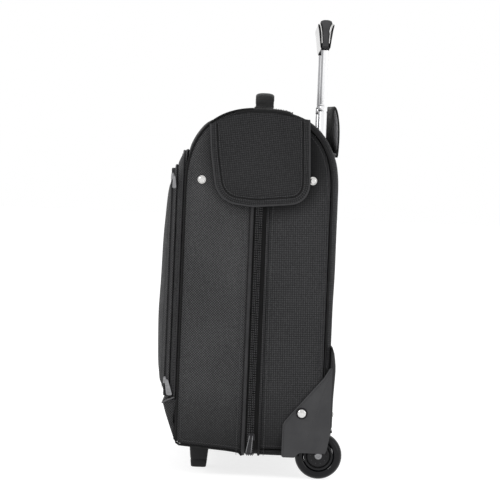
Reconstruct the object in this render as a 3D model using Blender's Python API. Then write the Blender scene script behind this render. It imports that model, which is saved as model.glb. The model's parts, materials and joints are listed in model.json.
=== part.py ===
"""A soft-sided rolling garment bag that folds in two over its top.

Metres, +Z up. X runs across the bag from end to end, -Y is the pocket side and +Y the trolley side.
The origin is the middle of the footprint, on the floor.
"""

import math

import bmesh
import bpy
from mathutils import Vector

# ---- the bag ----
HALF_WIDTH = 0.280  # to the outer faces of the end panels
SPLIT_Y = 0.004  # the plane of the main zip
FRONT_DEPTH = 0.105
REAR_DEPTH = 0.107
BASE_Z = 0.030
SPRING_Z = 0.400  # where the straight sides turn into the arched top
TOP_Z = 0.515
ARCH_POWER = 2.5
WALL = 0.004
GAP = 0.0003  # between pieces that touch

RISE = TOP_Z - SPRING_Z
FRONT_Y = SPLIT_Y - FRONT_DEPTH
BACK_Y = SPLIT_Y + REAR_DEPTH
INNER_HALF = HALF_WIDTH - WALL - GAP  # half length of the walls between the end panels

# ---- the fold along the top ----
FOLD_Y = -0.040
FOLD_Z = 0.516
KNEE_Z = 0.430  # the halves part straight up to here, then along a slope to the fold
FOLD_ANGLE = math.acos(-(((SPLIT_Y - FOLD_Y) / FRONT_DEPTH) ** (ARCH_POWER / 2)))
FOLD_GAP_ANGLE = math.radians(0.3)

# ---- front base ----
HEEL_Y = -0.090
HEEL_Z = 0.036
TOE_Z = 0.043

# ---- wheels and their corner guards ----
WHEEL_R = 0.033
WHEEL_Y = 0.099
WHEEL_INNER_X = 0.2525
WHEEL_OUTER_X = 0.2765
RIM_R = 0.0203
BORE_R = 0.0043
AXLE_R = 0.004
WELL_R = 0.0365
WELL_WALL = 0.003
CHEEK_X = 0.232
GUARD_X = 0.2805
GUARD_WALL = 0.003
WELL_FRONT_Y = WHEEL_Y - WELL_R - WELL_WALL - 0.001
WELL_TOP_Z = WHEEL_R + WELL_R + WELL_WALL + 0.0025

# ---- telescopic handle ----
TUBE_X = 0.085
TUBE_Y = 0.090
TUBE_WALL = 0.001
UPPER_TUBE = (0.0180, 0.0103)
LOWER_TUBE = (0.0206, 0.0129)
HOUSING = (0.0232, 0.0155)
HOUSING_Z = (0.0503, 0.455)
LOWER_TUBE_Z = (0.131, 0.531)
UPPER_TUBE_Z = (0.233, 0.6127)
GRIP_Z = (0.613, 0.654)
GRIP_HALF_X = 0.105
BUTTON_HALF = (0.0208, 0.0046)
BUTTON_LOW_Z = 0.6273
COLLAR_HEIGHT = 0.010

# ---- front pocket ----
POCKET_HALF = 0.272
POCKET_WALL = 0.003
POCKET_HINGE = (-0.1225, 0.1075)
GUSSET_FRONT_Y = -0.1135

# ---- flaps ----
FLAP_X = (0.2846, 0.2880)
FLAP_Y = (-0.070, 0.069)
FLAP_LOW_Z = 0.3795
FLAP_HINGE = (0.2825, 0.5215)
FLAP_STAND_OFF = 0.004

# ---- main zip sliders ----
SLIDER_X = (0.2826, 0.2862)
SLIDER_Z = (0.051, 0.062)
PULL_X = (0.2866, 0.2884)
PULL_LENGTH = 0.027
PULL_PIVOT = (0.2875, 0.0605)

# ---- garment hanger clamp ----
CLAMP_PIVOT = (0.0425, 0.0785)

# ---- carry handle ----
PATCH_Y = (-0.0385, 0.044)
PATCH_THICKNESS = 0.0065
CARRY_X = 0.078
CARRY_PIVOT_Z = 0.5265
CARRY_TOP_Z = 0.545

SIDES = (("l", -1.0), ("r", 1.0))


# ---- building blocks ----
def make_material(name, colour, roughness, metallic=0.0):
    material = bpy.data.materials.new(name)
    material.use_nodes = True
    shader = material.node_tree.nodes["Principled BSDF"]
    shader.inputs["Base Color"].default_value = (*colour, 1.0)
    shader.inputs["Roughness"].default_value = roughness
    shader.inputs["Metallic"].default_value = metallic
    return material


def make_object(name, bm, material, pivot):
    """The mesh as an object whose origin is at the pivot."""
    bmesh.ops.recalc_face_normals(bm, faces=bm.faces)
    bmesh.ops.translate(bm, verts=bm.verts, vec=-Vector(pivot))
    mesh = bpy.data.meshes.new(name)
    bm.to_mesh(mesh)
    bm.free()
    mesh.materials.append(material)
    obj = bpy.data.objects.new(name, mesh)
    obj.location = pivot
    bpy.context.scene.collection.objects.link(obj)
    return obj


def skin(name, rings, material, pivot=(0, 0, 0), closed=False, smooth=False):
    """A solid through a row of rings of equal length, capped at its ends or closed on itself."""
    bm = bmesh.new()
    rows = [[bm.verts.new(point) for point in ring] for ring in rings]
    pairs = list(zip(rows, rows[1:]))
    if closed:
        pairs.append((rows[-1], rows[0]))
    for first, second in pairs:
        for i in range(len(first)):
            j = (i + 1) % len(first)
            bm.faces.new((first[i], first[j], second[j], second[i]))
    if not closed:
        bm.faces.new(rows[0])
        bm.faces.new(rows[-1])
    obj = make_object(name, bm, material, pivot)
    if smooth:
        obj.data.shade_smooth()
        obj.data.set_sharp_from_angle(angle=math.radians(35))
    return obj


def prism(name, outline, axis, low, high, material, pivot=(0, 0, 0)):
    """An outline pushed along an axis. Its points are (y, z), (x, z) or (x, y), as the axis leaves."""
    place = {
        "x": lambda a, b, c: (c, a, b),
        "y": lambda a, b, c: (a, c, b),
        "z": lambda a, b, c: (a, b, c),
    }[axis]
    rings = [[place(a, b, level) for a, b in outline] for level in (low, high)]
    return skin(name, rings, material, pivot)


def sided_prism(name, outline, sign, low, high, material, pivot=(0, 0, 0)):
    """A (y, z) outline pushed along X, on the left or the right end of the bag."""
    return prism(name, outline, "x", sign * low, sign * high, material, pivot)


def turned(name, profile, sign, centre, segments, material, closed=False):
    """A profile of (x, radius) turned round the X line through centre (y, z)."""
    rings = []
    for x, radius in profile:
        angles = (2 * math.pi * i / segments for i in range(segments))
        rings.append(
            [(sign * x, centre[0] + radius * math.cos(a), centre[1] + radius * math.sin(a)) for a in angles]
        )
    pivot = (0, centre[0], centre[1])
    return skin(name, rings, material, pivot, closed, smooth=True)


def fillet(corners, steps=5):
    """An outline from corners (a, b, radius), with each corner of radius over 0 turned into an arc."""
    outline = []
    count = len(corners)
    for i, (a, b, radius) in enumerate(corners):
        corner = Vector((a, b))
        if radius == 0:
            outline.append((a, b))
            continue
        before = (Vector(corners[i - 1][:2]) - corner).normalized()
        after = (Vector(corners[(i + 1) % count][:2]) - corner).normalized()
        half = before.angle(after) / 2
        reach = radius / math.tan(half)
        start, end = corner + before * reach, corner + after * reach
        centre = corner + (before + after).normalized() * (radius / math.sin(half))
        first, last = start - centre, end - centre
        turn = first.angle_signed(last)
        for k in range(steps + 1):
            angle = -turn * k / steps
            cos, sin = math.cos(angle), math.sin(angle)
            outline.append((centre.x + first.x * cos - first.y * sin, centre.y + first.x * sin + first.y * cos))
    return outline


def rectangle_ring(centre, half, radius, z, steps=2):
    """A rounded rectangle lying at height z."""
    (cx, cy), (hx, hy) = centre, half
    corners = [(cx - hx, cy - hy), (cx + hx, cy - hy), (cx + hx, cy + hy), (cx - hx, cy + hy)]
    return [(x, y, z) for x, y in fillet([(*corner, radius) for corner in corners], steps)]


def block(name, low, high, material, bevel=0.0, pivot=(0, 0, 0)):
    """A block between two corners, its upright edges rounded."""
    centre = ((low[0] + high[0]) / 2, (low[1] + high[1]) / 2)
    half = ((high[0] - low[0]) / 2, (high[1] - low[1]) / 2)
    rings = [rectangle_ring(centre, half, bevel, z) for z in (low[2], high[2])]
    return skin(name, rings, material, pivot)


def centred_block(name, half, low_z, high_z, material, bevel=0.0):
    """A block centred on the tubes' plane, given its half length and half depth."""
    low = (-half[0], TUBE_Y - half[1], low_z)
    high = (half[0], TUBE_Y + half[1], high_z)
    return block(name, low, high, material, bevel)


def joined(obj, other, operation):
    """Adds, or cuts away, a helper that isn't a piece itself."""
    modifier = obj.modifiers.new(operation.lower(), "BOOLEAN")
    modifier.operation = operation
    modifier.solver = "EXACT"
    modifier.object = other
    other.hide_render = True
    other.display_type = "WIRE"
    return obj


# ---- the bag's own curves ----
def arch(start, end, grow=0.0, steps=12):
    """Points (y, z) along the arched top, from angle 0 at the back spring to pi at the front."""
    points = []
    for i in range(steps + 1):
        angle = start + (end - start) * i / steps
        across, up = math.cos(angle), math.sin(angle)
        depth = (REAR_DEPTH if across > 0 else FRONT_DEPTH) + grow
        reach = math.copysign(abs(across) ** (2 / ARCH_POWER), across)
        points.append((SPLIT_Y + depth * reach, SPRING_Z + (RISE + grow) * max(up, 0) ** (2 / ARCH_POWER)))
    return points


def arch_height(y, grow=0.0):
    depth = (REAR_DEPTH if y > SPLIT_Y else FRONT_DEPTH) + grow
    reach = abs(y - SPLIT_Y) / depth
    return SPRING_Z + (RISE + grow) * (1 - reach**ARCH_POWER) ** (1 / ARCH_POWER)


def arch_strip(y_low, y_high, inner, outer, steps=8):
    """A band that lies on the arched top between two depths, as an outline."""
    ys = [y_low + (y_high - y_low) * i / steps for i in range(steps + 1)]
    under = [(y, arch_height(y) + inner) for y in ys]
    over = [(y, arch_height(y) + outer) for y in reversed(ys)]
    return under + over


# ---- rear half ----
def build_rear_shell(fabric):
    lower_half = CHEEK_X - 0.0005
    back = [
        (-lower_half, BASE_Z + WALL + GAP),
        (lower_half, BASE_Z + WALL + GAP),
        (lower_half, WELL_TOP_Z),
        (INNER_HALF, WELL_TOP_Z),
        (INNER_HALF, SPRING_Z - GAP),
        (-INNER_HALF, SPRING_Z - GAP),
        (-INNER_HALF, WELL_TOP_Z),
        (-lower_half, WELL_TOP_Z),
    ]
    prism("back_panel", back, "y", BACK_Y - WALL, BACK_Y, fabric)
    base = [
        (-INNER_HALF, SPLIT_Y + GAP),
        (INNER_HALF, SPLIT_Y + GAP),
        (INNER_HALF, WELL_FRONT_Y),
        (lower_half, WELL_FRONT_Y),
        (lower_half, BACK_Y),
        (-lower_half, BACK_Y),
        (-lower_half, WELL_FRONT_Y),
        (-INNER_HALF, WELL_FRONT_Y),
    ]
    prism("rear_base", base, "z", BASE_Z, BASE_Z + WALL, fabric)
    start = FOLD_ANGLE - FOLD_GAP_ANGLE
    shoulder = arch(0, start, steps=20) + arch(start, 0, -WALL, steps=20)
    return prism("rear_shoulder", shoulder, "x", -INNER_HALF, INNER_HALF, fabric)


def build_rear_end(side, sign, fabric):
    start = FOLD_ANGLE - FOLD_GAP_ANGLE
    outline = [
        (SPLIT_Y + GAP, BASE_Z),
        (SPLIT_Y + GAP, KNEE_Z),
        *arch(start, 0, steps=20),
        (BACK_Y, WELL_TOP_Z),
        (WELL_FRONT_Y, WELL_TOP_Z),
        (WELL_FRONT_Y, BASE_Z),
    ]
    sided_prism(f"rear_end_panel_{side}", outline, sign, HALF_WIDTH - WALL, HALF_WIDTH, fabric)


# ---- front half ----
def build_front_shell(fabric):
    block(
        "front_panel",
        (-INNER_HALF, FRONT_Y, TOE_Z + 0.0017),
        (INNER_HALF, FRONT_Y + WALL, SPRING_Z - GAP),
        fabric,
    )
    base = [
        (FRONT_Y, TOE_Z),
        (HEEL_Y, HEEL_Z),
        (SPLIT_Y - GAP, BASE_Z),
        (SPLIT_Y - GAP, BASE_Z + WALL),
        (HEEL_Y, HEEL_Z + WALL),
        (FRONT_Y, TOE_Z + 0.0014),
    ]
    prism("front_base", base, "x", -INNER_HALF, INNER_HALF, fabric)
    start = FOLD_ANGLE + FOLD_GAP_ANGLE
    shoulder = arch(start, math.pi) + arch(math.pi, start, -WALL)
    prism("front_shoulder", shoulder, "x", -INNER_HALF, INNER_HALF, fabric)


def build_front_end(side, sign, fabric):
    start = FOLD_ANGLE + FOLD_GAP_ANGLE
    outline = [
        (SPLIT_Y - GAP, BASE_Z),
        (SPLIT_Y - GAP, KNEE_Z),
        *arch(start, math.pi),
        (FRONT_Y, TOE_Z),
        (HEEL_Y, HEEL_Z),
    ]
    sided_prism(f"front_end_panel_{side}", outline, sign, HALF_WIDTH - WALL, HALF_WIDTH, fabric)


def build_feet(side, sign, plastic):
    foot_x, foot_y, top_z = 0.145, -0.070, 0.0333
    stations = ((0.0, 0.0170, 0.0108), (0.012, 0.0185, 0.0120), (top_z, 0.0220, 0.0142))
    rings = [rectangle_ring((sign * foot_x, foot_y), (hx, hy), 0.004, z) for z, hx, hy in stations]
    skin(f"foot_{side}", rings, plastic, smooth=True)


# ---- main zip ----
def zip_outline():
    """The zip's U, seen along Y: up both ends and under the base."""
    inner, outer = HALF_WIDTH + GAP, HALF_WIDTH + 0.0022
    under, top = BASE_Z - GAP, KNEE_Z - 0.002
    return [
        (-outer, under - 0.0019),
        (outer, under - 0.0019),
        (outer, top),
        (inner, top),
        (inner, under),
        (-inner, under),
        (-inner, top),
        (-outer, top),
    ]


def build_zips(tape):
    tape_width = 0.0176
    prism("front_zip_tape", zip_outline(), "y", SPLIT_Y - GAP - tape_width, SPLIT_Y - GAP, tape)
    prism("rear_zip_tape", zip_outline(), "y", SPLIT_Y + GAP, SPLIT_Y + GAP + tape_width, tape)


def build_zip_slider(side, sign, metal):
    body = [
        (SPLIT_Y - 0.0045, SLIDER_Z[0], 0.001),
        (SPLIT_Y + 0.0045, SLIDER_Z[0], 0.001),
        (SPLIT_Y + 0.0055, SLIDER_Z[1], 0.002),
        (SPLIT_Y - 0.0055, SLIDER_Z[1], 0.002),
    ]
    sided_prism(f"zip_slider_{side}", fillet(body, 2), sign, *SLIDER_X, metal)
    pivot = (sign * PULL_PIVOT[0], SPLIT_Y, PULL_PIVOT[1])
    top = PULL_PIVOT[1] - 0.0005
    tab = [
        (SPLIT_Y - 0.0042, top - PULL_LENGTH, 0.002),
        (SPLIT_Y + 0.0042, top - PULL_LENGTH, 0.002),
        (SPLIT_Y + 0.0030, top, 0.002),
        (SPLIT_Y - 0.0030, top, 0.002),
    ]
    sided_prism(f"zip_pull_{side}", fillet(tab, 2), sign, *PULL_X, metal, pivot)


# ---- flaps, studs and rivets ----
def build_flap(side, sign, fabric):
    front, rear = FLAP_Y
    ridge = (0.060, 0.045, 0.025, 0.004, -0.018, -0.038, -0.055)
    over = [(y, arch_height(y) + FLAP_STAND_OFF) for y in ridge]
    corners = [
        (front, arch_height(front) + FLAP_STAND_OFF, 0),
        (front + 0.0085, FLAP_LOW_Z + 0.0030, 0.028),
        (-0.008, FLAP_LOW_Z, 0.050),
        (rear + 0.002, FLAP_LOW_Z + 0.0200, 0.022),
        (rear, arch_height(rear) + FLAP_STAND_OFF, 0),
        *((y, z, 0) for y, z in over),
    ]
    pivot = (sign * FLAP_HINGE[0], SPLIT_Y, FLAP_HINGE[1])
    sided_prism(f"end_flap_{side}", fillet(corners), sign, *FLAP_X, fabric, pivot)


def build_button(name, sign, centre, base_x, metal):
    profile = [(0.0, 0.0072), (0.0009, 0.0072), (0.0011, 0.0057), (0.0024, 0.0052), (0.0033, 0.0036)]
    turned(name, [(base_x + rise, radius) for rise, radius in profile], sign, centre, 20, metal)


def build_fasteners(side, sign, metal):
    build_button(f"front_stud_{side}", sign, (-0.0795, 0.414), HALF_WIDTH + GAP, metal)
    build_button(f"rear_stud_{side}", sign, (0.076, 0.418), HALF_WIDTH + GAP, metal)
    build_button(f"guard_rivet_{side}", sign, (0.0734, 0.092), GUARD_X + GUARD_WALL + GAP, metal)


# ---- wheels ----
def well_arc(radius, steps=10, last=math.radians(62)):
    """Points of the wheel well's arc, from its front foot over the wheel to the back."""
    angles = (math.pi + (last - math.pi) * i / steps for i in range(steps + 1))
    return [(WHEEL_Y + radius * math.cos(a), WHEEL_R + radius * math.sin(a)) for a in angles]


def build_guard(side, sign, plastic):
    outer_x = GUARD_X + GUARD_WALL
    plate = fillet(
        [
            (0.047, 0.030, 0.002),
            (0.047, 0.076, 0.004),
            (0.102, 0.142, 0.020),
            (0.1125, 0.168, 0.004),
            (0.1165, 0.160, 0),
            (0.1165, 0.066, 0),
            (0.1115, 0.042, 0.003),
            (0.1085, 0.0365, 0),
            (0.072, 0.0365, 0.006),
            (0.065, 0.030, 0),
        ],
        3,
    )
    guard = sided_prism(f"corner_guard_{side}", plate, sign, GUARD_X, outer_x, plastic)
    cover = [
        (BACK_Y + GAP, 0.187),
        (BACK_Y + 0.002, 0.187),
        (BACK_Y + 0.007, 0.163),
        (BACK_Y + 0.007, 0.077),
        (BACK_Y + 0.0045, 0.066),
        (BACK_Y + GAP, 0.066),
    ]
    wrap = sided_prism(f"guard_cover_{side}", cover, sign, CHEEK_X, outer_x - 0.0002, plastic)
    joined(guard, wrap, "UNION")
    well = well_arc(WELL_R + WELL_WALL) + well_arc(WELL_R)[::-1]
    shell = sided_prism(f"guard_well_{side}", well, sign, CHEEK_X + 0.0002, GUARD_X + 0.001, plastic)
    joined(guard, shell, "UNION")
    boss = [
        (WHEEL_Y + 0.011 * math.cos(math.radians(-a)), WHEEL_R + 0.011 * math.sin(math.radians(-a)))
        for a in range(0, 181, 30)
    ]
    cheek = [*well_arc(WELL_R + WELL_WALL - 0.0004), (0.1135, 0.040), *boss]
    face = sided_prism(f"guard_cheek_{side}", cheek, sign, CHEEK_X + 0.0004, CHEEK_X + 0.004, plastic)
    joined(guard, face, "UNION")


def build_wheel(side, sign, rubber, plastic, metal):
    inner, outer = WHEEL_INNER_X, WHEEL_OUTER_X
    centre = (WHEEL_Y, WHEEL_R)
    tyre_bore = RIM_R + GAP
    tyre = [
        (inner + 0.001, tyre_bore),
        (outer - 0.001, tyre_bore),
        (outer, 0.0216),
        (outer, 0.0280),
        (outer - 0.0012, 0.0312),
        (outer - 0.0045, WHEEL_R),
        (inner + 0.0045, WHEEL_R),
        (inner + 0.0012, 0.0312),
        (inner, 0.0280),
        (inner, 0.0216),
    ]
    turned(f"tyre_{side}", tyre, sign, centre, 40, rubber, closed=True)
    hub_r, groove_r = 0.0155, 0.0175
    hub = [
        (inner, BORE_R),
        (outer, BORE_R),
        (outer, hub_r),
        (outer - 0.004, hub_r),
        (outer - 0.004, groove_r),
        (outer - 0.001, groove_r),
        (outer - 0.001, RIM_R),
        (inner + 0.001, RIM_R),
        (inner + 0.001, groove_r),
        (inner + 0.004, groove_r),
        (inner + 0.004, hub_r),
        (inner, hub_r),
    ]
    turned(f"wheel_hub_{side}", hub, sign, centre, 40, plastic, closed=True)
    axle = [
        (CHEEK_X + 0.004 + GAP, 0.0060),
        (inner - 0.001, 0.0060),
        (inner - 0.001, AXLE_R),
        (outer + GAP, AXLE_R),
        (outer + GAP, 0.0052),
        (outer + 0.0018, 0.0052),
        (outer + 0.0025, 0.0040),
    ]
    turned(f"axle_{side}", axle, sign, centre, 24, metal)


# ---- telescopic handle ----
def hollow_tube(name, x, size, z_range, material, pivot=(0, 0, 0), collar=0.0):
    """A rectangular tube with rounded corners, open at both ends, with an optional collar at its top."""
    centre = (x, TUBE_Y)
    half = (size[0] / 2, size[1] / 2)
    inner = (half[0] - TUBE_WALL, half[1] - TUBE_WALL)
    low, high = z_range
    rings = [rectangle_ring(centre, half, 0.0035, low, 3)]
    if collar:
        wide = (half[0] + collar, half[1] + collar)
        rings.append(rectangle_ring(centre, half, 0.0035, high - COLLAR_HEIGHT, 3))
        rings.append(rectangle_ring(centre, wide, 0.0045, high - COLLAR_HEIGHT, 3))
        rings.append(rectangle_ring(centre, wide, 0.0045, high, 3))
    else:
        rings.append(rectangle_ring(centre, half, 0.0035, high, 3))
    rings.append(rectangle_ring(centre, inner, 0.0025, high, 3))
    rings.append(rectangle_ring(centre, inner, 0.0025, low, 3))
    return skin(name, rings, material, pivot, closed=True, smooth=True)


def build_tubes(side, sign, aluminium, plastic):
    x = sign * TUBE_X
    hollow_tube(f"tube_housing_{side}", x, HOUSING, HOUSING_Z, plastic)
    hollow_tube(f"lower_tube_{side}", x, LOWER_TUBE, LOWER_TUBE_Z, aluminium, collar=0.0012)
    hollow_tube(f"upper_tube_{side}", x, UPPER_TUBE, UPPER_TUBE_Z, aluminium)


def build_grip(plastic, soft):
    """The grip flares upwards and is domed along its top. A channel in it takes the release linkage."""
    low, high = GRIP_Z
    stations = (
        (low, 0.0060),
        (low + 0.012, 0.0070),
        (low + 0.024, 0.0095),
        (high - 0.009, 0.0110),
        (high - 0.003, 0.0105),
    )
    centre = (0, TUBE_Y)
    rings = []
    for z, half_y in stations:
        radius = min(half_y, 0.006) - 0.0005
        rings.append(rectangle_ring(centre, (GRIP_HALF_X, half_y), radius, z, 3))
    rings.append(rectangle_ring(centre, (GRIP_HALF_X - 0.003, 0.0085), 0.005, high, 3))
    grip = skin("grip", rings, soft, smooth=True)

    channel = centred_block("grip_channel", (0.096, 0.0040), low - 0.01, BUTTON_LOW_Z + 0.0002, soft, 0.001)
    joined(grip, channel, "DIFFERENCE")
    well_half = (BUTTON_HALF[0] + 0.0007, BUTTON_HALF[1] + 0.0006)
    well = centred_block("grip_well", well_half, low + 0.010, high + 0.01, soft, 0.003)
    joined(grip, well, "DIFFERENCE")
    centred_block("release_button", BUTTON_HALF, BUTTON_LOW_Z, high + 0.001, plastic, 0.0026)

    bar_low, bar_high = low + 0.008, BUTTON_LOW_Z - GAP
    linkage = centred_block("release_linkage", (0.0905, 0.0025), bar_low, bar_high, plastic, 0.001)
    for side, sign in SIDES:
        x = sign * TUBE_X
        rod_low = (x - 0.004, TUBE_Y - 0.0018, UPPER_TUBE_Z[0] + 0.012)
        rod_high = (x + 0.004, TUBE_Y + 0.0018, bar_low + 0.0015)
        joined(linkage, block(f"rod_{side}", rod_low, rod_high, plastic, 0.001), "UNION")


def build_tube_seats(shoulder, plastic):
    """The bezel that the tubes leave the bag through, and the bracket that holds their housings' feet."""
    bezel = prism("tube_bezel", arch_strip(0.0765, 0.1035, GAP, 0.0035), "x", -0.112, 0.112, plastic)
    notch = block("bezel_notch", (-0.026, 0.0945, 0.440), (0.026, 0.120, 0.520), plastic, 0.002)
    joined(bezel, notch, "DIFFERENCE")
    half = (LOWER_TUBE[0] / 2 + 0.0005, LOWER_TUBE[1] / 2 + 0.0005)
    for side, sign in SIDES:
        x = sign * TUBE_X
        slot_low = (x - half[0], TUBE_Y - half[1], 0.440)
        slot_high = (x + half[0], TUBE_Y + half[1], 0.520)
        slot = block(f"tube_slot_{side}", slot_low, slot_high, plastic, 0.003)
        joined(bezel, slot, "DIFFERENCE")
        joined(shoulder, slot, "DIFFERENCE")
    bracket_low = BASE_Z + WALL + GAP
    bracket_high = HOUSING_Z[0] - GAP
    centred_block("tube_bracket", (0.105, 0.0095), bracket_low, bracket_high, plastic, 0.004)


# ---- top patch, carry handle and strap loop ----
def build_carry_handle(fabric, leather):
    patch = arch_strip(*PATCH_Y, GAP, PATCH_THICKNESS + GAP)
    prism("top_patch", patch, "x", -HALF_WIDTH - 0.001, HALF_WIDTH + 0.001, fabric)
    patch_top = TOP_Z + PATCH_THICKNESS + 2 * GAP
    for side, sign in SIDES:
        x = sign * CARRY_X
        anchor_low = (x - 0.013, SPLIT_Y - 0.014, patch_top)
        anchor_high = (x + 0.013, SPLIT_Y + 0.014, patch_top + 0.002)
        block(f"handle_anchor_{side}", anchor_low, anchor_high, leather, 0.003)
    half_thick = 0.0045
    bar_z = CARRY_TOP_Z - half_thick
    base_z = CARRY_PIVOT_Z + GAP
    stations = (
        (CARRY_X, base_z, 0.0040, 0.0),
        (CARRY_X, base_z + 0.0055, 0.0115, 0.0),
        (CARRY_X - 0.0030, bar_z - 0.0035, 0.0125, 0.8),
        (CARRY_X - 0.0110, bar_z, 0.0125, 1.5),
        (0.030, bar_z, 0.0125, math.pi / 2),
    )
    mirrored = tuple((-x, z, half, math.pi - lean) for x, z, half, lean in reversed(stations))
    rings = []
    for x, z, half_y, lean in stations + mirrored:
        out_x, out_z = half_thick * math.cos(lean), half_thick * math.sin(lean)
        edge = half_y - 0.002
        rings.append(
            [
                (x + out_x, SPLIT_Y - edge, z + out_z),
                (x + out_x, SPLIT_Y + edge, z + out_z),
                (x + out_x * 0.4, SPLIT_Y + half_y, z + out_z * 0.4),
                (x - out_x * 0.4, SPLIT_Y + half_y, z - out_z * 0.4),
                (x - out_x, SPLIT_Y + edge, z - out_z),
                (x - out_x, SPLIT_Y - edge, z - out_z),
                (x - out_x * 0.4, SPLIT_Y - half_y, z - out_z * 0.4),
                (x + out_x * 0.4, SPLIT_Y - half_y, z + out_z * 0.4),
            ]
        )
    skin("carry_handle", rings, leather, (0, SPLIT_Y, CARRY_PIVOT_Z))


def build_strap_loop(leather):
    """A leaf-shaped loop standing on the back's top edge."""
    foot, peak = Vector((0.1066, 0.4540)), Vector((0.1060, 0.5305))
    rear_bulge, front_bulge = 0.0112, 0.0083
    half_thick, half_wide, steps = 0.00125, 0.019, 10
    middle = []
    for i in range(steps):
        share = i / steps
        middle.append(foot.lerp(peak, share) + Vector((rear_bulge * math.sin(math.pi * share), 0)))
    for i in range(steps):
        share = i / steps
        middle.append(peak.lerp(foot, share) - Vector((front_bulge * math.sin(math.pi * share), 0)))
    rings = []
    for i, point in enumerate(middle):
        along = (middle[(i + 1) % len(middle)] - middle[i - 1]).normalized()
        out = Vector((along.y, -along.x)) * half_thick
        inner, outer = point - out, point + out
        rings.append(
            [
                (-half_wide, inner.x, inner.y),
                (half_wide, inner.x, inner.y),
                (half_wide, outer.x, outer.y),
                (-half_wide, outer.x, outer.y),
            ]
        )
    skin("strap_loop", rings, leather, (0, foot.x, foot.y - 0.001), closed=True, smooth=True)


# ---- front pocket ----
def pocket_face(inset):
    """The pocket's bowed face from its foot to its top, moved inwards by inset."""
    foot_z, top_z, steps = POCKET_HINGE[1] + 0.0008 + inset, 0.4240 - inset, 10
    points = []
    for i in range(steps + 1):
        share = i / steps
        z = foot_z + (top_z - foot_z) * share
        y = -0.1215 - 0.0105 * math.sin(math.pi * share ** 0.62) ** 0.75 - 0.0010 * share
        points.append((y + inset, z))
    return points


def build_pocket(fabric):
    back = GUSSET_FRONT_Y - GAP
    slab = [*pocket_face(0), (back, 0.4240), (back, POCKET_HINGE[1] + 0.0008)]
    pivot = (0, *POCKET_HINGE)
    panel = prism("pocket_panel", slab, "x", -POCKET_HALF, POCKET_HALF, fabric, pivot)
    face = pocket_face(POCKET_WALL)
    hollow = [*face, (back + 0.01, face[-1][1]), (back + 0.01, face[0][1])]
    half = POCKET_HALF - POCKET_WALL
    joined(panel, prism("pocket_hollow", hollow, "x", -half, half, fabric), "DIFFERENCE")

    seat_y = FRONT_Y - GAP
    roof = [
        (GUSSET_FRONT_Y, 0.415),
        (-0.1125, 0.444),
        (-0.1050, 0.456),
        (-0.0968, 0.456),
        (-0.0990, 0.440),
        (-0.1008, 0.425),
        (seat_y, 0.415),
    ]
    gusset = prism("pocket_gusset", roof, "x", -POCKET_HALF, POCKET_HALF, fabric)
    for side, sign in SIDES:
        wall = [(GUSSET_FRONT_Y, 0.109), (seat_y, 0.109), (seat_y, 0.417), (GUSSET_FRONT_Y, 0.417)]
        low, high = POCKET_HALF - POCKET_WALL, POCKET_HALF - 0.0001
        joined(gusset, sided_prism(f"gusset_wall_{side}", wall, sign, low, high, fabric), "UNION")

    cuff = [
        (seat_y, 0.047),
        (-0.1035, 0.047),
        (-0.1110, 0.064),
        (-0.1185, 0.086),
        (-0.1230, 0.103),
        (-0.1225, 0.1070),
        (seat_y, 0.1070),
    ]
    prism("cuff_panel", cuff, "x", -INNER_HALF, INNER_HALF, fabric)


def build_pocket_sliders(side, sign, metal):
    """Two sliders on each side of the pocket: one parked at its foot, one at its top."""
    low, high = POCKET_HALF + 0.0004, POCKET_HALF + 0.0040
    lower = [
        (-0.1185, 0.136),
        (-0.1185, 0.127),
        (-0.1160, 0.108),
        (-0.1085, 0.109),
        (-0.1115, 0.127),
        (-0.1115, 0.136),
    ]
    sided_prism(f"pocket_slider_lower_{side}", lower, sign, low, high, metal)
    upper = [
        (-0.1195, 0.422),
        (-0.1195, 0.413),
        (-0.1180, 0.400),
        (-0.1140, 0.400),
        (-0.1125, 0.413),
        (-0.1125, 0.422),
    ]
    sided_prism(f"pocket_slider_upper_{side}", upper, sign, low, high, metal)


# ---- inside ----
def build_inside(board, plastic, metal):
    block("back_board", (-0.262, 0.1035, 0.080), (0.262, BACK_Y - WALL - GAP, 0.395), board)
    floor_z = BASE_Z + WALL + GAP
    bracket = [
        (0.036, floor_z),
        (0.060, floor_z),
        (0.060, floor_z + 0.003),
        (0.043, floor_z + 0.003),
        (0.043, 0.078),
        (0.036, 0.078),
    ]
    prism("hanger_bracket", bracket, "x", -0.035, 0.035, plastic)
    clamp = [
        (0.0352, CLAMP_PIVOT[1], 0),
        (CLAMP_PIVOT[0], CLAMP_PIVOT[1], 0.001),
        (CLAMP_PIVOT[0], 0.0840, 0.002),
        (0.0320, 0.0840, 0.002),
        (0.0320, 0.0520, 0.001),
        (0.0352, 0.0520, 0.001),
    ]
    prism("hanger_clamp", fillet(clamp, 2), "x", -0.033, 0.033, metal, (0, *CLAMP_PIVOT))


def clear_scene():
    for obj in list(bpy.data.objects):
        bpy.data.objects.remove(obj, do_unlink=True)


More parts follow.
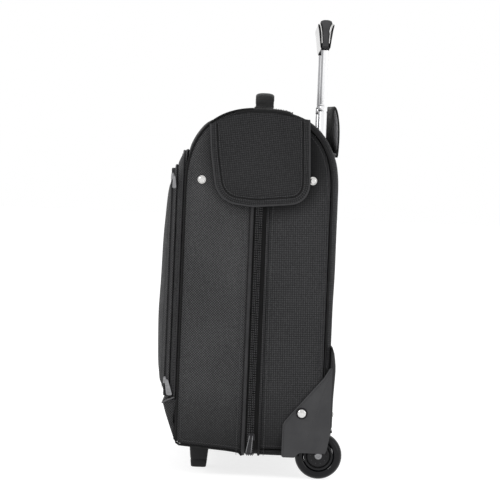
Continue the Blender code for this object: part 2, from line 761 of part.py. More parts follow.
def main():
    clear_scene()
    fabric = make_material("ballistic_fabric", (0.045, 0.045, 0.047), 0.85)
    leather = make_material("binding", (0.020, 0.020, 0.021), 0.55)
    grey_plastic = make_material("grey_plastic", (0.055, 0.055, 0.057), 0.50)
    black_plastic = make_material("black_plastic", (0.018, 0.018, 0.019), 0.45)
    gloss = make_material("gloss_black", (0.010, 0.010, 0.011), 0.15)
    soft = make_material("soft_grip", (0.035, 0.035, 0.036), 0.70)
    tape = make_material("zip_tape", (0.015, 0.015, 0.016), 0.60)
    aluminium = make_material("satin_aluminium", (0.75, 0.75, 0.77), 0.28, 1.0)
    steel = make_material("nickel", (0.70, 0.70, 0.70), 0.25, 1.0)
    board = make_material("board", (0.30, 0.30, 0.30), 0.70)

    shoulder = build_rear_shell(fabric)
    build_front_shell(fabric)
    build_zips(tape)
    build_grip(gloss, soft)
    build_tube_seats(shoulder, black_plastic)
    build_carry_handle(fabric, leather)
    build_strap_loop(leather)
    build_pocket(fabric)
    build_inside(board, black_plastic, steel)
    for side, sign in SIDES:
        build_rear_end(side, sign, fabric)
        build_front_end(side, sign, fabric)
        build_feet(side, sign, black_plastic)
        build_zip_slider(side, sign, steel)
        build_flap(side, sign, fabric)
        build_fasteners(side, sign, steel)
        build_guard(side, sign, grey_plastic)
        build_wheel(side, sign, gloss, gloss, steel)
        build_tubes(side, sign, aluminium, black_plastic)
        build_pocket_sliders(side, sign, steel)


main()
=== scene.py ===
import json
import math

import bmesh
import bpy
import numpy as np
from mathutils import Matrix, Vector, noise

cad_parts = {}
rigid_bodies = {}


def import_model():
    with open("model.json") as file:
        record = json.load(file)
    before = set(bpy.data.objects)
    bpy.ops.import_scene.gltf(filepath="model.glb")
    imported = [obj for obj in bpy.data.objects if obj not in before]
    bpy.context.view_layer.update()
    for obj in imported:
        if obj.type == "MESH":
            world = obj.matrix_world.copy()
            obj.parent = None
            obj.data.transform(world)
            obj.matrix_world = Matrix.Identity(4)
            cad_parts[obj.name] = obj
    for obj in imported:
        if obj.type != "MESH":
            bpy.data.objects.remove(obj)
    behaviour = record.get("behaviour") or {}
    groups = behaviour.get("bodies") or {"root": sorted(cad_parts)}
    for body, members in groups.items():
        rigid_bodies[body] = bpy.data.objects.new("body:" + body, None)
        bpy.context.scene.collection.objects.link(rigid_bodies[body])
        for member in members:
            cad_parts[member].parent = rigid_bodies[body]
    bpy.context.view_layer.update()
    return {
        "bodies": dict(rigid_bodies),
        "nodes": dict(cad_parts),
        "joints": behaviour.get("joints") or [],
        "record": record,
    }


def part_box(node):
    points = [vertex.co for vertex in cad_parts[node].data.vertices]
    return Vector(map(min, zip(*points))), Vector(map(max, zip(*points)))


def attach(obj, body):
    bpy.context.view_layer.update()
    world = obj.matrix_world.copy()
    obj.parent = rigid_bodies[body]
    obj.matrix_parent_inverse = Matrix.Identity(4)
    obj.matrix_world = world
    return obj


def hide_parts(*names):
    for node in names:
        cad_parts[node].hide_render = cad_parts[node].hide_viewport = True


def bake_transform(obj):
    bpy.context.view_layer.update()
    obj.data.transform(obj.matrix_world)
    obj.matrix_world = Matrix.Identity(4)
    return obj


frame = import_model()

# ---- sizes read from the frame (metres) ----
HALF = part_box("rear_end_panel_r")[1].x
FRONT_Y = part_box("front_panel")[0].y
BACK_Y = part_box("back_panel")[1].y
BASE_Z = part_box("rear_base")[0].z
TOP_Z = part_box("rear_end_panel_r")[1].z
SPRING_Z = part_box("back_board")[1].z + 0.005
SPLIT_Y = (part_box("front_zip_tape")[1].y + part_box("rear_zip_tape")[0].y) / 2
RISE = TOP_Z - SPRING_Z
ARCH_POWER = 2.5
FOLD = Vector((0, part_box("front_shoulder")[1].y, TOP_Z + 0.001))
WHEEL = (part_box("tyre_r")[0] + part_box("tyre_r")[1]) / 2
WHEEL_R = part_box("tyre_r")[1].z / 2
TUBE = (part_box("upper_tube_r")[0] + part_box("upper_tube_r")[1]) / 2

# ---- soft shell ----
EDGE_R = {"rear": 0.0080, "front": 0.0030}  # the walls' rounding into the end panels
TUCK_Z = 0.064  # below this the end panels curve in under the bag
TUCK = 0.012
WALL_PITCH = 0.006
CORNER_R = 0.016  # the back's rounding into the base
ZIP_GAP = 0.009  # from the bag's split to each wall, beside the zip
PANEL_GAP = {"rear": 0.0105, "front": -0.0130}  # the same for the end panels
MIDDLE_Z = 0.25  # a height well inside the bag
CLOTH = 0.0016  # thickness
SIDES = (("l", -1.0), ("r", 1.0))


# ---------------------------------------------------------------- mesh helpers
def add_piece(name, bm, materials, body, slot):
    """An object from a bmesh, riding on a body (or on none yet). The slot is not used."""
    mesh = bpy.data.meshes.new(name)
    bm.to_mesh(mesh)
    bm.free()
    for material in materials if isinstance(materials, (list, tuple)) else [materials]:
        mesh.materials.append(material)
    mesh.shade_smooth()
    mesh.set_sharp_from_angle(angle=math.radians(50))
    obj = bpy.data.objects.new(name, mesh)
    bpy.context.scene.collection.objects.link(obj)
    if body:
        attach(obj, body)
    return obj


def grid(rows, close_rows=False, close_columns=False, outward=None, uv=None):
    """A sheet through rows of points. Its UV map is in metres, along the sheet or from uv(point)."""
    bm = bmesh.new()
    layer = bm.loops.layers.uv.new("UVMap")
    verts = [[bm.verts.new(p) for p in row] for row in rows]
    n, m = len(rows), len(rows[0])
    along = [0.0]
    middle = m // 2
    for i in range(1, n + 1):
        along.append(along[-1] + (Vector(rows[i % n][middle]) - Vector(rows[i - 1][middle])).length)
    across = [0.0]
    for j in range(1, m + 1):
        row = rows[n // 2]
        across.append(across[-1] + (Vector(row[j % m]) - Vector(row[j - 1])).length)
    for i in range(n if close_rows else n - 1):
        for j in range(m if close_columns else m - 1):
            a, b = (i + 1) % n, (j + 1) % m
            corners = ((i, j, i, j), (i, b, i, j + 1), (a, b, i + 1, j + 1), (a, j, i + 1, j))
            face = bm.faces.new([verts[p][q] for p, q, _, _ in corners])
            for loop, (p, q, up, uq) in zip(face.loops, corners):
                if uv:
                    loop[layer].uv = uv(Vector(rows[p][q]))
                else:
                    loop[layer].uv = (across[uq], along[up])
    if outward is None:
        bmesh.ops.recalc_face_normals(bm, faces=bm.faces)
    else:
        bm.normal_update()
        total = sum((f.normal.dot(outward(f.calc_center_median())) * f.calc_area() for f in bm.faces))
        if total < 0:
            bmesh.ops.reverse_faces(bm, faces=bm.faces)
    return bm


def cap_ends(bm):
    """Closes every open border of a bmesh with a face."""
    edges = [e for e in bm.edges if e.is_boundary]
    bmesh.ops.holes_fill(bm, edges=edges, sides=0)
    bmesh.ops.recalc_face_normals(bm, faces=bm.faces)
    return bm


def loft(rows):
    """A closed body through rings of points."""
    return cap_ends(grid(rows, close_columns=True))


def solidify(obj, thickness, inner=0):
    modifier = obj.modifiers.new("thickness", "SOLIDIFY")
    modifier.thickness = thickness
    modifier.offset = -1
    modifier.use_even_offset = False
    modifier.material_offset = inner
    modifier.material_offset_rim = inner
    return obj


def bevel(obj, width, segments=3, angle=30):
    modifier = obj.modifiers.new("bevel", "BEVEL")
    modifier.width = width
    modifier.segments = segments
    modifier.limit_method = "ANGLE"
    modifier.angle_limit = math.radians(angle)
    modifier.harden_normals = False
    return obj


def frames_along(points, closed=False):
    """The unit tangent at each point of a path."""
    n = len(points)
    tangents = []
    for i in range(n):
        before = points[i - 1] if closed or i else points[i]
        after = points[(i + 1) % n] if closed or i < n - 1 else points[i]
        tangents.append((Vector(after) - Vector(before)).normalized())
    return tangents


def sweep(points, side, section, closed=False):
    """A closed section of (a, b) carried along a path.

    a runs along side(i, tangent), b across both that and the path.
    """
    tangents = frames_along(points, closed)
    rows = []
    for i, (point, tangent) in enumerate(zip(points, tangents)):
        a_axis = side(i, tangent)
        a_axis = (a_axis - tangent * a_axis.dot(tangent)).normalized()
        b_axis = tangent.cross(a_axis)
        rows.append([Vector(point) + a_axis * a + b_axis * b for a, b in section])
    bm = grid(rows, close_rows=closed, close_columns=True)
    return bm if closed else cap_ends(bm)


def oval(half_a, half_b, count=10, power=1.0):
    """A closed oval section; a power under 1 squares it off."""
    section = []
    for i in range(count):
        angle = 2 * math.pi * i / count
        c, s = math.cos(angle), math.sin(angle)
        a = math.copysign(abs(c) ** power, c) * half_a
        b = math.copysign(abs(s) ** power, s) * half_b
        section.append((a, b))
    return section


def tube(points, radius, closed=False, count=8):
    """A round cord along a path."""
    up = Vector((0.31, 0.17, 0.93)).normalized()
    return sweep(points, lambda i, t: up if abs(t.dot(up)) < 0.9 else Vector((1, 0, 0)),
                 oval(radius, radius, count), closed)


def resample(points, pitch, closed=False):
    """Points a pitch apart along a path, with the direction there."""
    path = [Vector(p) for p in points] + ([Vector(points[0])] if closed else [])
    out, carried = [], pitch / 2
    for a, b in zip(path, path[1:]):
        length = (b - a).length
        if length < 1e-9:
            continue
        direction = (b - a) / length
        while carried <= length:
            out.append((a + direction * carried, direction))
            carried += pitch
        carried -= length
    return out


def beads(items, sides=6):
    """Small capsules in one mesh. Each item is (centre, long axis, up, length, width, height)."""
    bm = bmesh.new()
    layer = bm.loops.layers.uv.new("UVMap")
    for centre, axis, up, length, width, height in items:
        axis = axis.normalized()
        cross = axis.cross(up).normalized()
        up = cross.cross(axis)
        rings = []
        for share, swell in ((-0.5, 0.35), (-0.38, 0.9), (0.38, 0.9), (0.5, 0.35)):
            ring = []
            for k in range(sides):
                angle = 2 * math.pi * k / sides
                offset = (cross * (width / 2 * swell * math.cos(angle))
                          + up * (height / 2 * swell * math.sin(angle)))
                ring.append(bm.verts.new(centre + axis * (length * share) + offset))
            rings.append(ring)
        faces = []
        for first, second in zip(rings, rings[1:]):
            for k in range(sides):
                m = (k + 1) % sides
                faces.append(bm.faces.new((first[k], first[m], second[m], second[k])))
        faces.append(bm.faces.new(rings[0][::-1]))
        faces.append(bm.faces.new(rings[-1]))
        for face in faces:
            for loop in face.loops:
                loop[layer].uv = (loop.vert.co.y + loop.vert.co.x, loop.vert.co.z)
    bmesh.ops.recalc_face_normals(bm, faces=bm.faces)
    return bm


def stitch_items(points, normal, pitch=0.0034, length=0.0024, thick=0.00075, closed=False):
    """Stitches along a line, for beads(). The normal is a direction, or a function of the place."""
    items = []
    for centre, direction in resample(points, pitch, closed):
        up = normal(centre) if callable(normal) else Vector(normal)
        items.append((centre, direction, up, length, thick, thick * 0.8))
    return items


def sew(name, line, normal, body, size=(), closed=False):
    """A row of stitches along a line. Their size is (pitch, length, thickness)."""
    return add_piece(name, beads(stitch_items(line, normal, *size, closed=closed)), THREAD, body, "binding")


def lathe(profile, origin, axis="x", sign=1.0, segments=64, closed=False):
    """A profile of (distance along the axis, radius) turned round the axis through origin."""
    rows = []
    for along, radius in profile:
        row = []
        for k in range(segments):
            angle = 2 * math.pi * k / segments
            c, s = radius * math.cos(angle), radius * math.sin(angle)
            offset = Vector((sign * along, c, s)) if axis == "x" else Vector((c, s, sign * along))
            row.append(Vector(origin) + offset)
        rows.append(row)
    bm = grid(rows, close_rows=closed, close_columns=True)
    return bm if closed else cap_ends(bm)


def prism(outline, low, high, axis="x"):
    """An outline pushed along an axis. Its points are (y, z) for x, (x, z) for y and (x, y) for z."""
    place = {
        "x": lambda a, b, c: Vector((c, a, b)),
        "y": lambda a, b, c: Vector((a, c, b)),
        "z": lambda a, b, c: Vector((a, b, c)),
    }[axis]
    rows = [[place(a, b, level) for a, b in outline] for level in (low, high)]
    return loft(rows)


def fillet(corners, steps=6):
    """An outline from corners (a, b, radius), with each corner of radius over 0 turned into an arc."""
    outline = []
    count = len(corners)
    for i, (a, b, radius) in enumerate(corners):
        corner = Vector((a, b))
        if radius == 0:
            outline.append((a, b))
            continue
        before = (Vector(corners[i - 1][:2]) - corner).normalized()
        after = (Vector(corners[(i + 1) % count][:2]) - corner).normalized()
        half = before.angle(after) / 2
        reach = radius / math.tan(half)
        start, end = corner + before * reach, corner + after * reach
        centre = corner + (before + after).normalized() * (radius / math.sin(half))
        first, last = start - centre, end - centre
        turn = first.angle_signed(last)
        for k in range(steps + 1):
            angle = -turn * k / steps
            cos, sin = math.cos(angle), math.sin(angle)
            outline.append((centre.x + first.x * cos - first.y * sin,
                            centre.y + first.x * sin + first.y * cos))
    return outline


def rounded(a0, b0, a1, b1, radius, steps):
    """The outline of a rectangle with rounded corners, from its corner (a0, b0)."""
    return fillet([(a0, b0, radius), (a1, b0, radius), (a1, b1, radius), (a0, b1, radius)], steps)


def smoothstep(low, high, value):
    t = min(max((value - low) / (high - low), 0.0), 1.0)
    return t * t * (3 - 2 * t)


def wave(point, scale, seed):
    """Smooth noise between about -1 and 1, the same each run."""
    return noise.noise(Vector(point) / scale + Vector((seed * 7.3, seed * 3.1, seed * 5.7)))


# ---------------------------------------------------------------- materials
class Nodes:
    """A material's node tree, with short ways to add to it."""

    def __init__(self, name, colour, roughness, metallic=0.0):
        self.material = bpy.data.materials.new(name)
        self.material.use_nodes = True
        self.tree = self.material.node_tree
        self.shader = self.tree.nodes["Principled BSDF"]
        self.shader.inputs["Base Color"].default_value = (*colour, 1)
        self.shader.inputs["Roughness"].default_value = roughness
        self.shader.inputs["Metallic"].default_value = metallic

    def add(self, kind, **settings):
        node = self.tree.nodes.new(kind)
        for key, value in settings.items():
            setattr(node, key, value)
        return node

    def plug(self, value, socket):
        if isinstance(value, bpy.types.NodeSocket):
            self.tree.links.new(value, socket)
        else:
            socket.default_value = value

    def math(self, operation, *values):
        node = self.add("ShaderNodeMath", operation=operation)
        for value, socket in zip(values, node.inputs):
            self.plug(value, socket)
        return node.outputs[0]

    def times(self, first, second):
        return self.math("MULTIPLY", first, second)

    def plus(self, first, second):
        return self.math("ADD", first, second)

    def rib(self, value):
        """Half-round ribs, one for each pi of the value."""
        return self.math("ABSOLUTE", self.math("SINE", value))

    def split(self, vector):
        """The three coordinates of a vector."""
        node = self.add("ShaderNodeSeparateXYZ")
        self.plug(vector, node.inputs[0])
        return node.outputs

    def coordinates(self, output="Object", scale=(1, 1, 1), rotation=(0, 0, 0)):
        source = self.add("ShaderNodeTexCoord").outputs[output]
        mapping = self.add("ShaderNodeMapping")
        self.plug(source, mapping.inputs["Vector"])
        mapping.inputs["Scale"].default_value = scale
        mapping.inputs["Rotation"].default_value = rotation
        return mapping.outputs[0]

    def noise(self, scale, detail=4.0, roughness=0.55, vector=None):
        node = self.add("ShaderNodeTexNoise")
        self.plug(self.coordinates() if vector is None else vector, node.inputs["Vector"])
        node.inputs["Scale"].default_value = scale
        node.inputs["Detail"].default_value = detail
        node.inputs["Roughness"].default_value = roughness
        return node.outputs["Fac"]

    def spread(self, value, low, high, to_low, to_high):
        node = self.add("ShaderNodeMapRange")
        self.plug(value, node.inputs["Value"])
        for socket, number in zip(("From Min", "From Max", "To Min", "To Max"), (low, high, to_low, to_high)):
            node.inputs[socket].default_value = number
        return node.outputs["Result"]

    def blend(self, factor, first, second):
        node = self.add("ShaderNodeMix", data_type="RGBA")
        self.plug(factor, node.inputs["Factor"])
        for socket in node.inputs:
            if socket.type == "RGBA":
                socket.default_value = (*(first if socket.name == "A" else second), 1)
        return [s for s in node.outputs if s.type == "RGBA"][0]

    def colour(self, socket):
        self.tree.links.new(socket, self.shader.inputs["Base Color"])

    def rough(self, socket):
        self.tree.links.new(socket, self.shader.inputs["Roughness"])

    def bump(self, height, distance, strength=1.0):
        node = self.add("ShaderNodeBump")
        node.inputs["Distance"].default_value = distance
        node.inputs["Strength"].default_value = strength
        self.plug(height, node.inputs["Height"])
        self.tree.links.new(node.outputs["Normal"], self.shader.inputs["Normal"])


THREADS_PER_CELL = 2


def weave_height(nodes, cell, turn):
    """A basket weave over the UV map: (height, which set of threads is on top)."""
    u, v, _ = nodes.split(nodes.coordinates("UV", (1 / cell,) * 3, (0, 0, turn)))
    parity = nodes.math("FLOORED_MODULO", nodes.plus(nodes.math("FLOOR", u), nodes.math("FLOOR", v)), 2.0)
    ridges = []
    for along, across in ((u, v), (v, u)):
        thread = nodes.rib(nodes.times(across, math.pi * THREADS_PER_CELL))
        arc = nodes.rib(nodes.times(along, math.pi))
        ridges.append(nodes.times(nodes.math("POWER", thread, 0.6), nodes.math("POWER", arc, 0.5)))
    first = nodes.times(ridges[0], parity)
    second = nodes.times(ridges[1], nodes.math("SUBTRACT", 1.0, parity))
    return nodes.plus(first, second), parity


def make_fabric(name, light, dark, cell=0.0028, turn=0.0, roughness=0.62, distance=0.0005, painted_shade=True,
                shade=()):
    """Ballistic nylon: a basket weave whose two thread directions catch the light differently."""
    nodes = Nodes(name, light, roughness)
    height, parity = weave_height(nodes, cell, turn)
    streak = nodes.noise(240, 3, 0.6)
    patch = nodes.noise(9, 3, 0.5)
    level = nodes.times(height, nodes.plus(0.20, nodes.times(parity, 0.90)))
    level = nodes.plus(nodes.times(level, 0.85), nodes.times(streak, 0.20))
    level = nodes.plus(level, nodes.times(nodes.math("SUBTRACT", patch, 0.5), 0.35))
    slub = nodes.noise(430, 2, 0.6)
    level = nodes.times(level, nodes.spread(slub, 0.32, 0.68, 0.72, 1.26))
    if painted_shade:
        # painted shade: darker towards the bottom, where the panels curve in under the bag
        _, back, height_up = nodes.split(nodes.coordinates())
        level = nodes.times(level, nodes.spread(height_up, 0.030, 0.135, 0.22, 1.0))
        for y, z, deep, tall, keep in shade:
            # painted shadow of the end flap: a soft ellipse of darker cloth around and behind the flap
            across = nodes.math("POWER", nodes.times(nodes.math("SUBTRACT", back, y), 1 / deep), 2.0)
            up = nodes.math("POWER", nodes.times(nodes.math("SUBTRACT", height_up, z), 1 / tall), 2.0)
            level = nodes.times(level, nodes.spread(nodes.plus(across, up), 0.50, 1.10, keep, 1.0))
    nodes.colour(nodes.blend(level, dark, light))
    nodes.rough(nodes.spread(height, 0, 1, roughness + 0.15, roughness - 0.08))
    nodes.bump(height, distance)
    nodes.shader.inputs["Specular IOR Level"].default_value = 0.16
    return nodes.material


def make_ribbed(name, light, dark, pitch=0.0011):
    """Grosgrain binding or tape: fine ribs across its length."""
    roughness = 0.6
    nodes = Nodes(name, light, roughness)
    u, v, _ = nodes.split(nodes.coordinates("UV", (1 / pitch,) * 3))
    rib = nodes.rib(nodes.times(v, math.pi))
    cross = nodes.rib(nodes.times(u, math.pi * 1.7))
    height = nodes.plus(nodes.times(rib, 0.75), nodes.times(cross, 0.25))
    level = nodes.plus(nodes.times(height, 0.7), nodes.times(nodes.noise(160), 0.35))
    nodes.colour(nodes.blend(level, dark, light))
    nodes.rough(nodes.spread(nodes.noise(60), 0.3, 0.7, roughness - 0.08, roughness + 0.10))
    nodes.bump(height, 0.00025)
    nodes.shader.inputs["Specular IOR Level"].default_value = 0.15
    return nodes.material


def make_leather(name, light, dark, roughness):
    """Grained synthetic leather: small cells with creases between them."""
    nodes = Nodes(name, light, roughness)
    cells = nodes.add("ShaderNodeTexVoronoi", feature="DISTANCE_TO_EDGE")
    nodes.plug(nodes.coordinates(), cells.inputs["Vector"])
    cells.inputs["Scale"].default_value = 900
    crease = nodes.spread(cells.outputs["Distance"], 0.0, 0.25, 0.0, 1.0)
    height = nodes.plus(nodes.times(crease, 0.8), nodes.times(nodes.noise(300), 0.4))
    nodes.colour(nodes.blend(nodes.times(height, nodes.noise(35)), dark, light))
    nodes.rough(nodes.spread(nodes.noise(80), 0.3, 0.7, roughness - 0.10, roughness + 0.12))
    nodes.bump(height, 0.0002)
    nodes.shader.inputs["Specular IOR Level"].default_value = 0.22
    return nodes.material


def make_plastic(name, light, dark, roughness=0.5, grain=2600, distance=0.00012, coat=0.0, specular=0.3):
    """Moulded plastic: spark-eroded grain, faint scuffs and uneven gloss."""
    nodes = Nodes(name, light, roughness)
    fine = nodes.noise(grain, 2, 0.6)
    scuff = nodes.noise(28, 5, 0.65)
    marks = nodes.noise(1.0, 3, 0.7, nodes.coordinates(scale=(40, 220, 60)))
    nodes.colour(nodes.blend(nodes.spread(scuff, 0.35, 0.70, 0, 1), dark, light))
    mixed = nodes.plus(nodes.times(scuff, 0.6), nodes.times(marks, 0.4))
    nodes.rough(nodes.spread(mixed, 0.3, 0.7, roughness - 0.07, roughness + 0.10))
    nodes.bump(fine, distance)
    nodes.shader.inputs["Specular IOR Level"].default_value = specular
    nodes.shader.inputs["Coat Weight"].default_value = coat
    nodes.shader.inputs["Coat Roughness"].default_value = 0.12
    return nodes.material


def make_metal(name, light, dark, roughness, stretch):
    """Plated or anodised metal with brushing that runs along one direction."""
    nodes = Nodes(name, light, roughness, 1.0)
    brushed = nodes.noise(1.0, 4, 0.6, nodes.coordinates(scale=stretch))
    stain = nodes.noise(22, 3, 0.5)
    nodes.colour(nodes.blend(nodes.spread(brushed, 0.3, 0.7, 0, 1), dark, light))
    mixed = nodes.plus(nodes.times(brushed, 0.6), nodes.times(stain, 0.4))
    nodes.rough(nodes.spread(mixed, 0.3, 0.7, roughness - 0.06, roughness + 0.10))
    nodes.bump(brushed, 0.00002)
    return nodes.material


def grey(level, blue):
    return (level, level, blue)


# the shade lists paint the end flap's shadow on the cloth around it
FABRIC = make_fabric("ballistic_front", grey(0.116, 0.119), grey(0.005, 0.0055), cell=0.0018,
                     shade=[(0.006, 0.452, 0.096, 0.094, 0.45)])
FABRIC_REAR = make_fabric("ballistic_rear", grey(0.072, 0.075), grey(0.004, 0.0045), cell=0.0018,
                          turn=math.radians(42), shade=[(0.012, 0.452, 0.096, 0.094, 0.14)])
FABRIC_FLAP = make_fabric("ballistic_flap", grey(0.050, 0.052), grey(0.003, 0.0035), cell=0.0018,
                          turn=math.radians(48))
BINDING = make_ribbed("binding_tape", grey(0.054, 0.056), grey(0.014, 0.015))
TAPE = make_ribbed("zip_tape_cloth", grey(0.010, 0.0105), grey(0.002, 0.002), pitch=0.0008)
PIPING = make_leather("piping_skin", grey(0.052, 0.054), grey(0.012, 0.013), roughness=0.42)
LEATHER = make_leather("black_leather", grey(0.026, 0.027), grey(0.006, 0.006), roughness=0.40)
STRAP_LINING = make_ribbed("strap_lining", grey(0.62, 0.63), grey(0.42, 0.425))
PALE_CORD = make_leather("pale_cord", grey(0.17, 0.175), grey(0.06, 0.062), roughness=0.45)
# painted shade: a darker copy of the aluminium for the tubes' front faces
ALUMINIUM_SHADED = make_metal("aluminium_painted_shade", grey(0.40, 0.41), grey(0.30, 0.31), 0.30, (700, 700, 9))
THREAD = make_ribbed("thread", grey(0.085, 0.088), grey(0.030, 0.031), pitch=0.0006)
# light thread beads: the coil's stitching, and painted highlights on the coil's tooth heads
COIL_THREAD_AND_HIGHLIGHT = make_ribbed("coil_thread_and_painted_highlight", grey(0.085, 0.088), grey(0.035, 0.036), pitch=0.0006)
COIL = make_plastic("nylon_coil", grey(0.026, 0.027), grey(0.012, 0.013), roughness=0.34, grain=900)
GUARD = make_plastic("guard_plastic", grey(0.040, 0.042), grey(0.029, 0.031), roughness=0.46)
# painted shade: a darker copy of the guard plastic, for the cover turned away from the light and the wheel
# well's parts
GUARD_SHADED = make_plastic("guard_plastic_painted_shade", grey(0.014, 0.015), grey(0.008, 0.009), roughness=0.42)
BLACK = make_plastic("black_plastic", grey(0.013, 0.014), grey(0.007, 0.008), roughness=0.42, specular=0.20)
GLOSS = make_plastic("gloss_black", grey(0.007, 0.008), grey(0.004, 0.005), roughness=0.16, coat=0.6,
                     distance=0.00001)
TYRE = make_plastic("glossy_tyre", grey(0.007, 0.008), grey(0.003, 0.004), roughness=0.17, specular=0.20,
                    distance=0.00001)
SOFT = make_plastic("soft_grip", grey(0.050, 0.052), grey(0.030, 0.031), roughness=0.60, grain=3200)
ALUMINIUM = make_metal("satin_aluminium", grey(0.95, 0.96), grey(0.84, 0.85), 0.28, (700, 700, 9))
NICKEL = make_metal("bright_nickel", (0.74, 0.73, 0.72), grey(0.58, 0.57), 0.16, (300, 300, 300))
PULL = make_metal("gunmetal_pull", grey(0.050, 0.052), grey(0.028, 0.030), 0.36, (120, 120, 900))
SATIN = make_metal("satin_tab", grey(0.32, 0.33), grey(0.18, 0.185), 0.34, (120, 120, 900))
LINING = make_fabric("lining_cloth", grey(0.060, 0.066), grey(0.030, 0.033), cell=0.0012, roughness=0.5,
                     distance=0.0001, painted_shade=False)
BOARD = make_plastic("board_sheet", grey(0.33, 0.33), grey(0.27, 0.27), roughness=0.7)


# ---------------------------------------------------------------- soft shell
def arch_depth(y):
    """From the bag's split to the wall on the side of y."""
    return BACK_Y - SPLIT_Y if y > SPLIT_Y else SPLIT_Y - FRONT_Y


def arch_points(start, end, steps, shrink=0.0):
    """Points (y, z) over the top, from angle 0 at the back spring to pi at the front."""
    points = []
    for i in range(steps + 1):
        angle = start + (end - start) * i / steps
        across, up = math.cos(angle), math.sin(angle)
        depth = (BACK_Y - SPLIT_Y if across > 0 else SPLIT_Y - FRONT_Y) - shrink
        reach = math.copysign(abs(across) ** (2 / ARCH_POWER), across)
        points.append((SPLIT_Y + depth * reach, SPRING_Z + (RISE - shrink) * max(up, 0) ** (2 / ARCH_POWER)))
    return points


def arch_height(y):
    """The height of the bag's top above a depth y."""
    return SPRING_Z + RISE * max(1 - (abs(y - SPLIT_Y) / arch_depth(y)) ** ARCH_POWER, 0) ** (1 / ARCH_POWER)


def angle_at(y):
    """The arch angle whose point has this y."""
    reach = math.copysign((abs(y - SPLIT_Y) / arch_depth(y)) ** (ARCH_POWER / 2), y - SPLIT_Y)
    return math.acos(max(min(reach, 1.0), -1.0))


def even_path(points, pitch):
    """The path through points again, at an even pitch."""
    path = [Vector((0, *p)) for p in points]
    lengths = [0.0]
    for a, b in zip(path, path[1:]):
        lengths.append(lengths[-1] + (b - a).length)
    count = max(int(lengths[-1] / pitch), 2)
    out, k = [], 0
    for i in range(count + 1):
        want = lengths[-1] * i / count
        while k < len(lengths) - 2 and lengths[k + 1] < want:
            k += 1
        share = (want - lengths[k]) / max(lengths[k + 1] - lengths[k], 1e-9)
        point = path[k].lerp(path[k + 1], min(max(share, 0), 1))
        out.append((point.y, point.z))
    return out


def arc_points(centre, radius, start, end, steps=6):
    """Points on an arc, from one angle to another."""
    return [
        (centre[0] + radius * math.cos(start + (end - start) * i / steps),
         centre[1] + radius * math.sin(start + (end - start) * i / steps))
        for i in range(steps + 1)
    ]


def tuck(z):
    """How far the end panels have curved in at a height."""
    below = max(TUCK_Z - z, 0) / (TUCK_Z - BASE_Z)
    return TUCK * min(below, 1.1) ** 2.2


def front_foot(inset):
    """The front wall's foot, (y, z), from the wall under to the zip."""
    edge = FRONT_Y + inset
    return fillet([(edge, 0.10, 0), (edge, 0.0425 + inset, 0.006), (-0.030, 0.0368 + inset, 0.020),
                   (-0.013, 0.0345 + inset, 0)], 6)


def rear_profile():
    """The rear wall, (y, z): from the fold over the top, down the back and under to the zip."""
    top = arch_points(angle_at(FOLD.y + 0.0015), 0, 60)
    bottom = arc_points((BACK_Y - CORNER_R, BASE_Z + CORNER_R), CORNER_R, 0, -math.pi / 2, 8)
    return even_path([*top, (BACK_Y, BASE_Z + CORNER_R), *bottom, (SPLIT_Y + ZIP_GAP, BASE_Z)], WALL_PITCH)


def front_profile():
    """The front wall, (y, z): from the fold over the top, down the front and under to the zip."""
    top = arch_points(angle_at(FOLD.y - 0.0015), math.pi, 40)
    return even_path([*top, *front_foot(0), (SPLIT_Y - ZIP_GAP, BASE_Z)], WALL_PITCH)


def inwards(points):
    """The unit normals of an open path that point into the bag."""
    middle = Vector((0.0, MIDDLE_Z))
    normals = []
    for i in range(len(points)):
        a, b = Vector(points[max(i - 1, 0)]), Vector(points[min(i + 1, len(points) - 1)])
        along = (b - a).normalized()
        normal = Vector((-along.y, along.x))
        if normal.dot(middle - Vector(points[i])) < 0:
            normal = -normal
        normals.append(normal)
    return normals


def ripple(point, amount, seed):
    """Two sizes of soft waves in cloth."""
    return amount * (0.7 * wave(point, 0.085, seed) + 0.3 * wave(point, 0.031, seed + 4))


def fullness(y, z):
    """How far the stuffed shoulders and the back stand out beyond the frame."""
    if y < 0:
        return 0.0052 * smoothstep(0.425, 0.462, z) * smoothstep(0.508, 0.488, z)
    return 0.0016 * smoothstep(0.22, 0.30, z) * smoothstep(0.47, 0.44, z)


def wall_rows(profile, seed, radius):
    """The wall swept from end to end, with its long edges rounded over into the end panels."""
    normals = inwards(profile)
    flat = HALF - 0.0010 - radius
    shares = [i / 60 for i in range(61)]
    xs = [flat * (2 * s - 1) for s in shares]
    turn = [(flat + radius * math.sin(a), radius * (1 - math.cos(a)))
            for a in (math.pi / 2 * k / 6 for k in range(1, 7))]
    columns = [(-x, drop) for x, drop in reversed(turn)] + [(x, 0.0) for x in xs] + turn
    rows = []
    for (y, z), normal in zip(profile, normals):
        row = []
        for x, drop in columns:
            near_edge = smoothstep(flat, flat - 0.03, abs(x))
            shift = ripple((x, y * 0.4, z), 0.0006, seed) * near_edge
            shift += fullness(y, z) * smoothstep(flat + radius, flat - 0.012, abs(x))
            pull = tuck(z) * smoothstep(0.15, HALF, abs(x))
            row.append(Vector((x - math.copysign(pull, x), y + normal.x * (drop - shift),
                               z + normal.y * (drop - shift))))
        rows.append(row)
    return rows


def wall_piece(name, profile, seed, radius, body, material, hole=None):
    bm = grid(wall_rows(profile, seed, radius))
    if hole:
        doomed = [f for f in bm.faces if hole(f.calc_center_median())]
        bmesh.ops.delete(bm, geom=doomed, context="FACES")
    bm.normal_update()
    centre = Vector((0, 0, MIDDLE_Z))
    if sum(f.normal.dot(f.calc_center_median() - centre) for f in bm.faces) < 0:
        bmesh.ops.reverse_faces(bm, faces=bm.faces)
    obj = add_piece(name, bm, [material, LINING], body, "fabric")
    solidify(obj, CLOTH, inner=1)
    return obj


def in_wheel_well(p):
    return abs(p.x) > 0.2315 and p.y > 0.0585 and p.z < 0.0755


def in_tube_slot(p):
    return p.z > 0.44 and abs(abs(p.x) - abs(TUBE.x)) < 0.0112 and abs(p.y - TUBE.y) < 0.0085


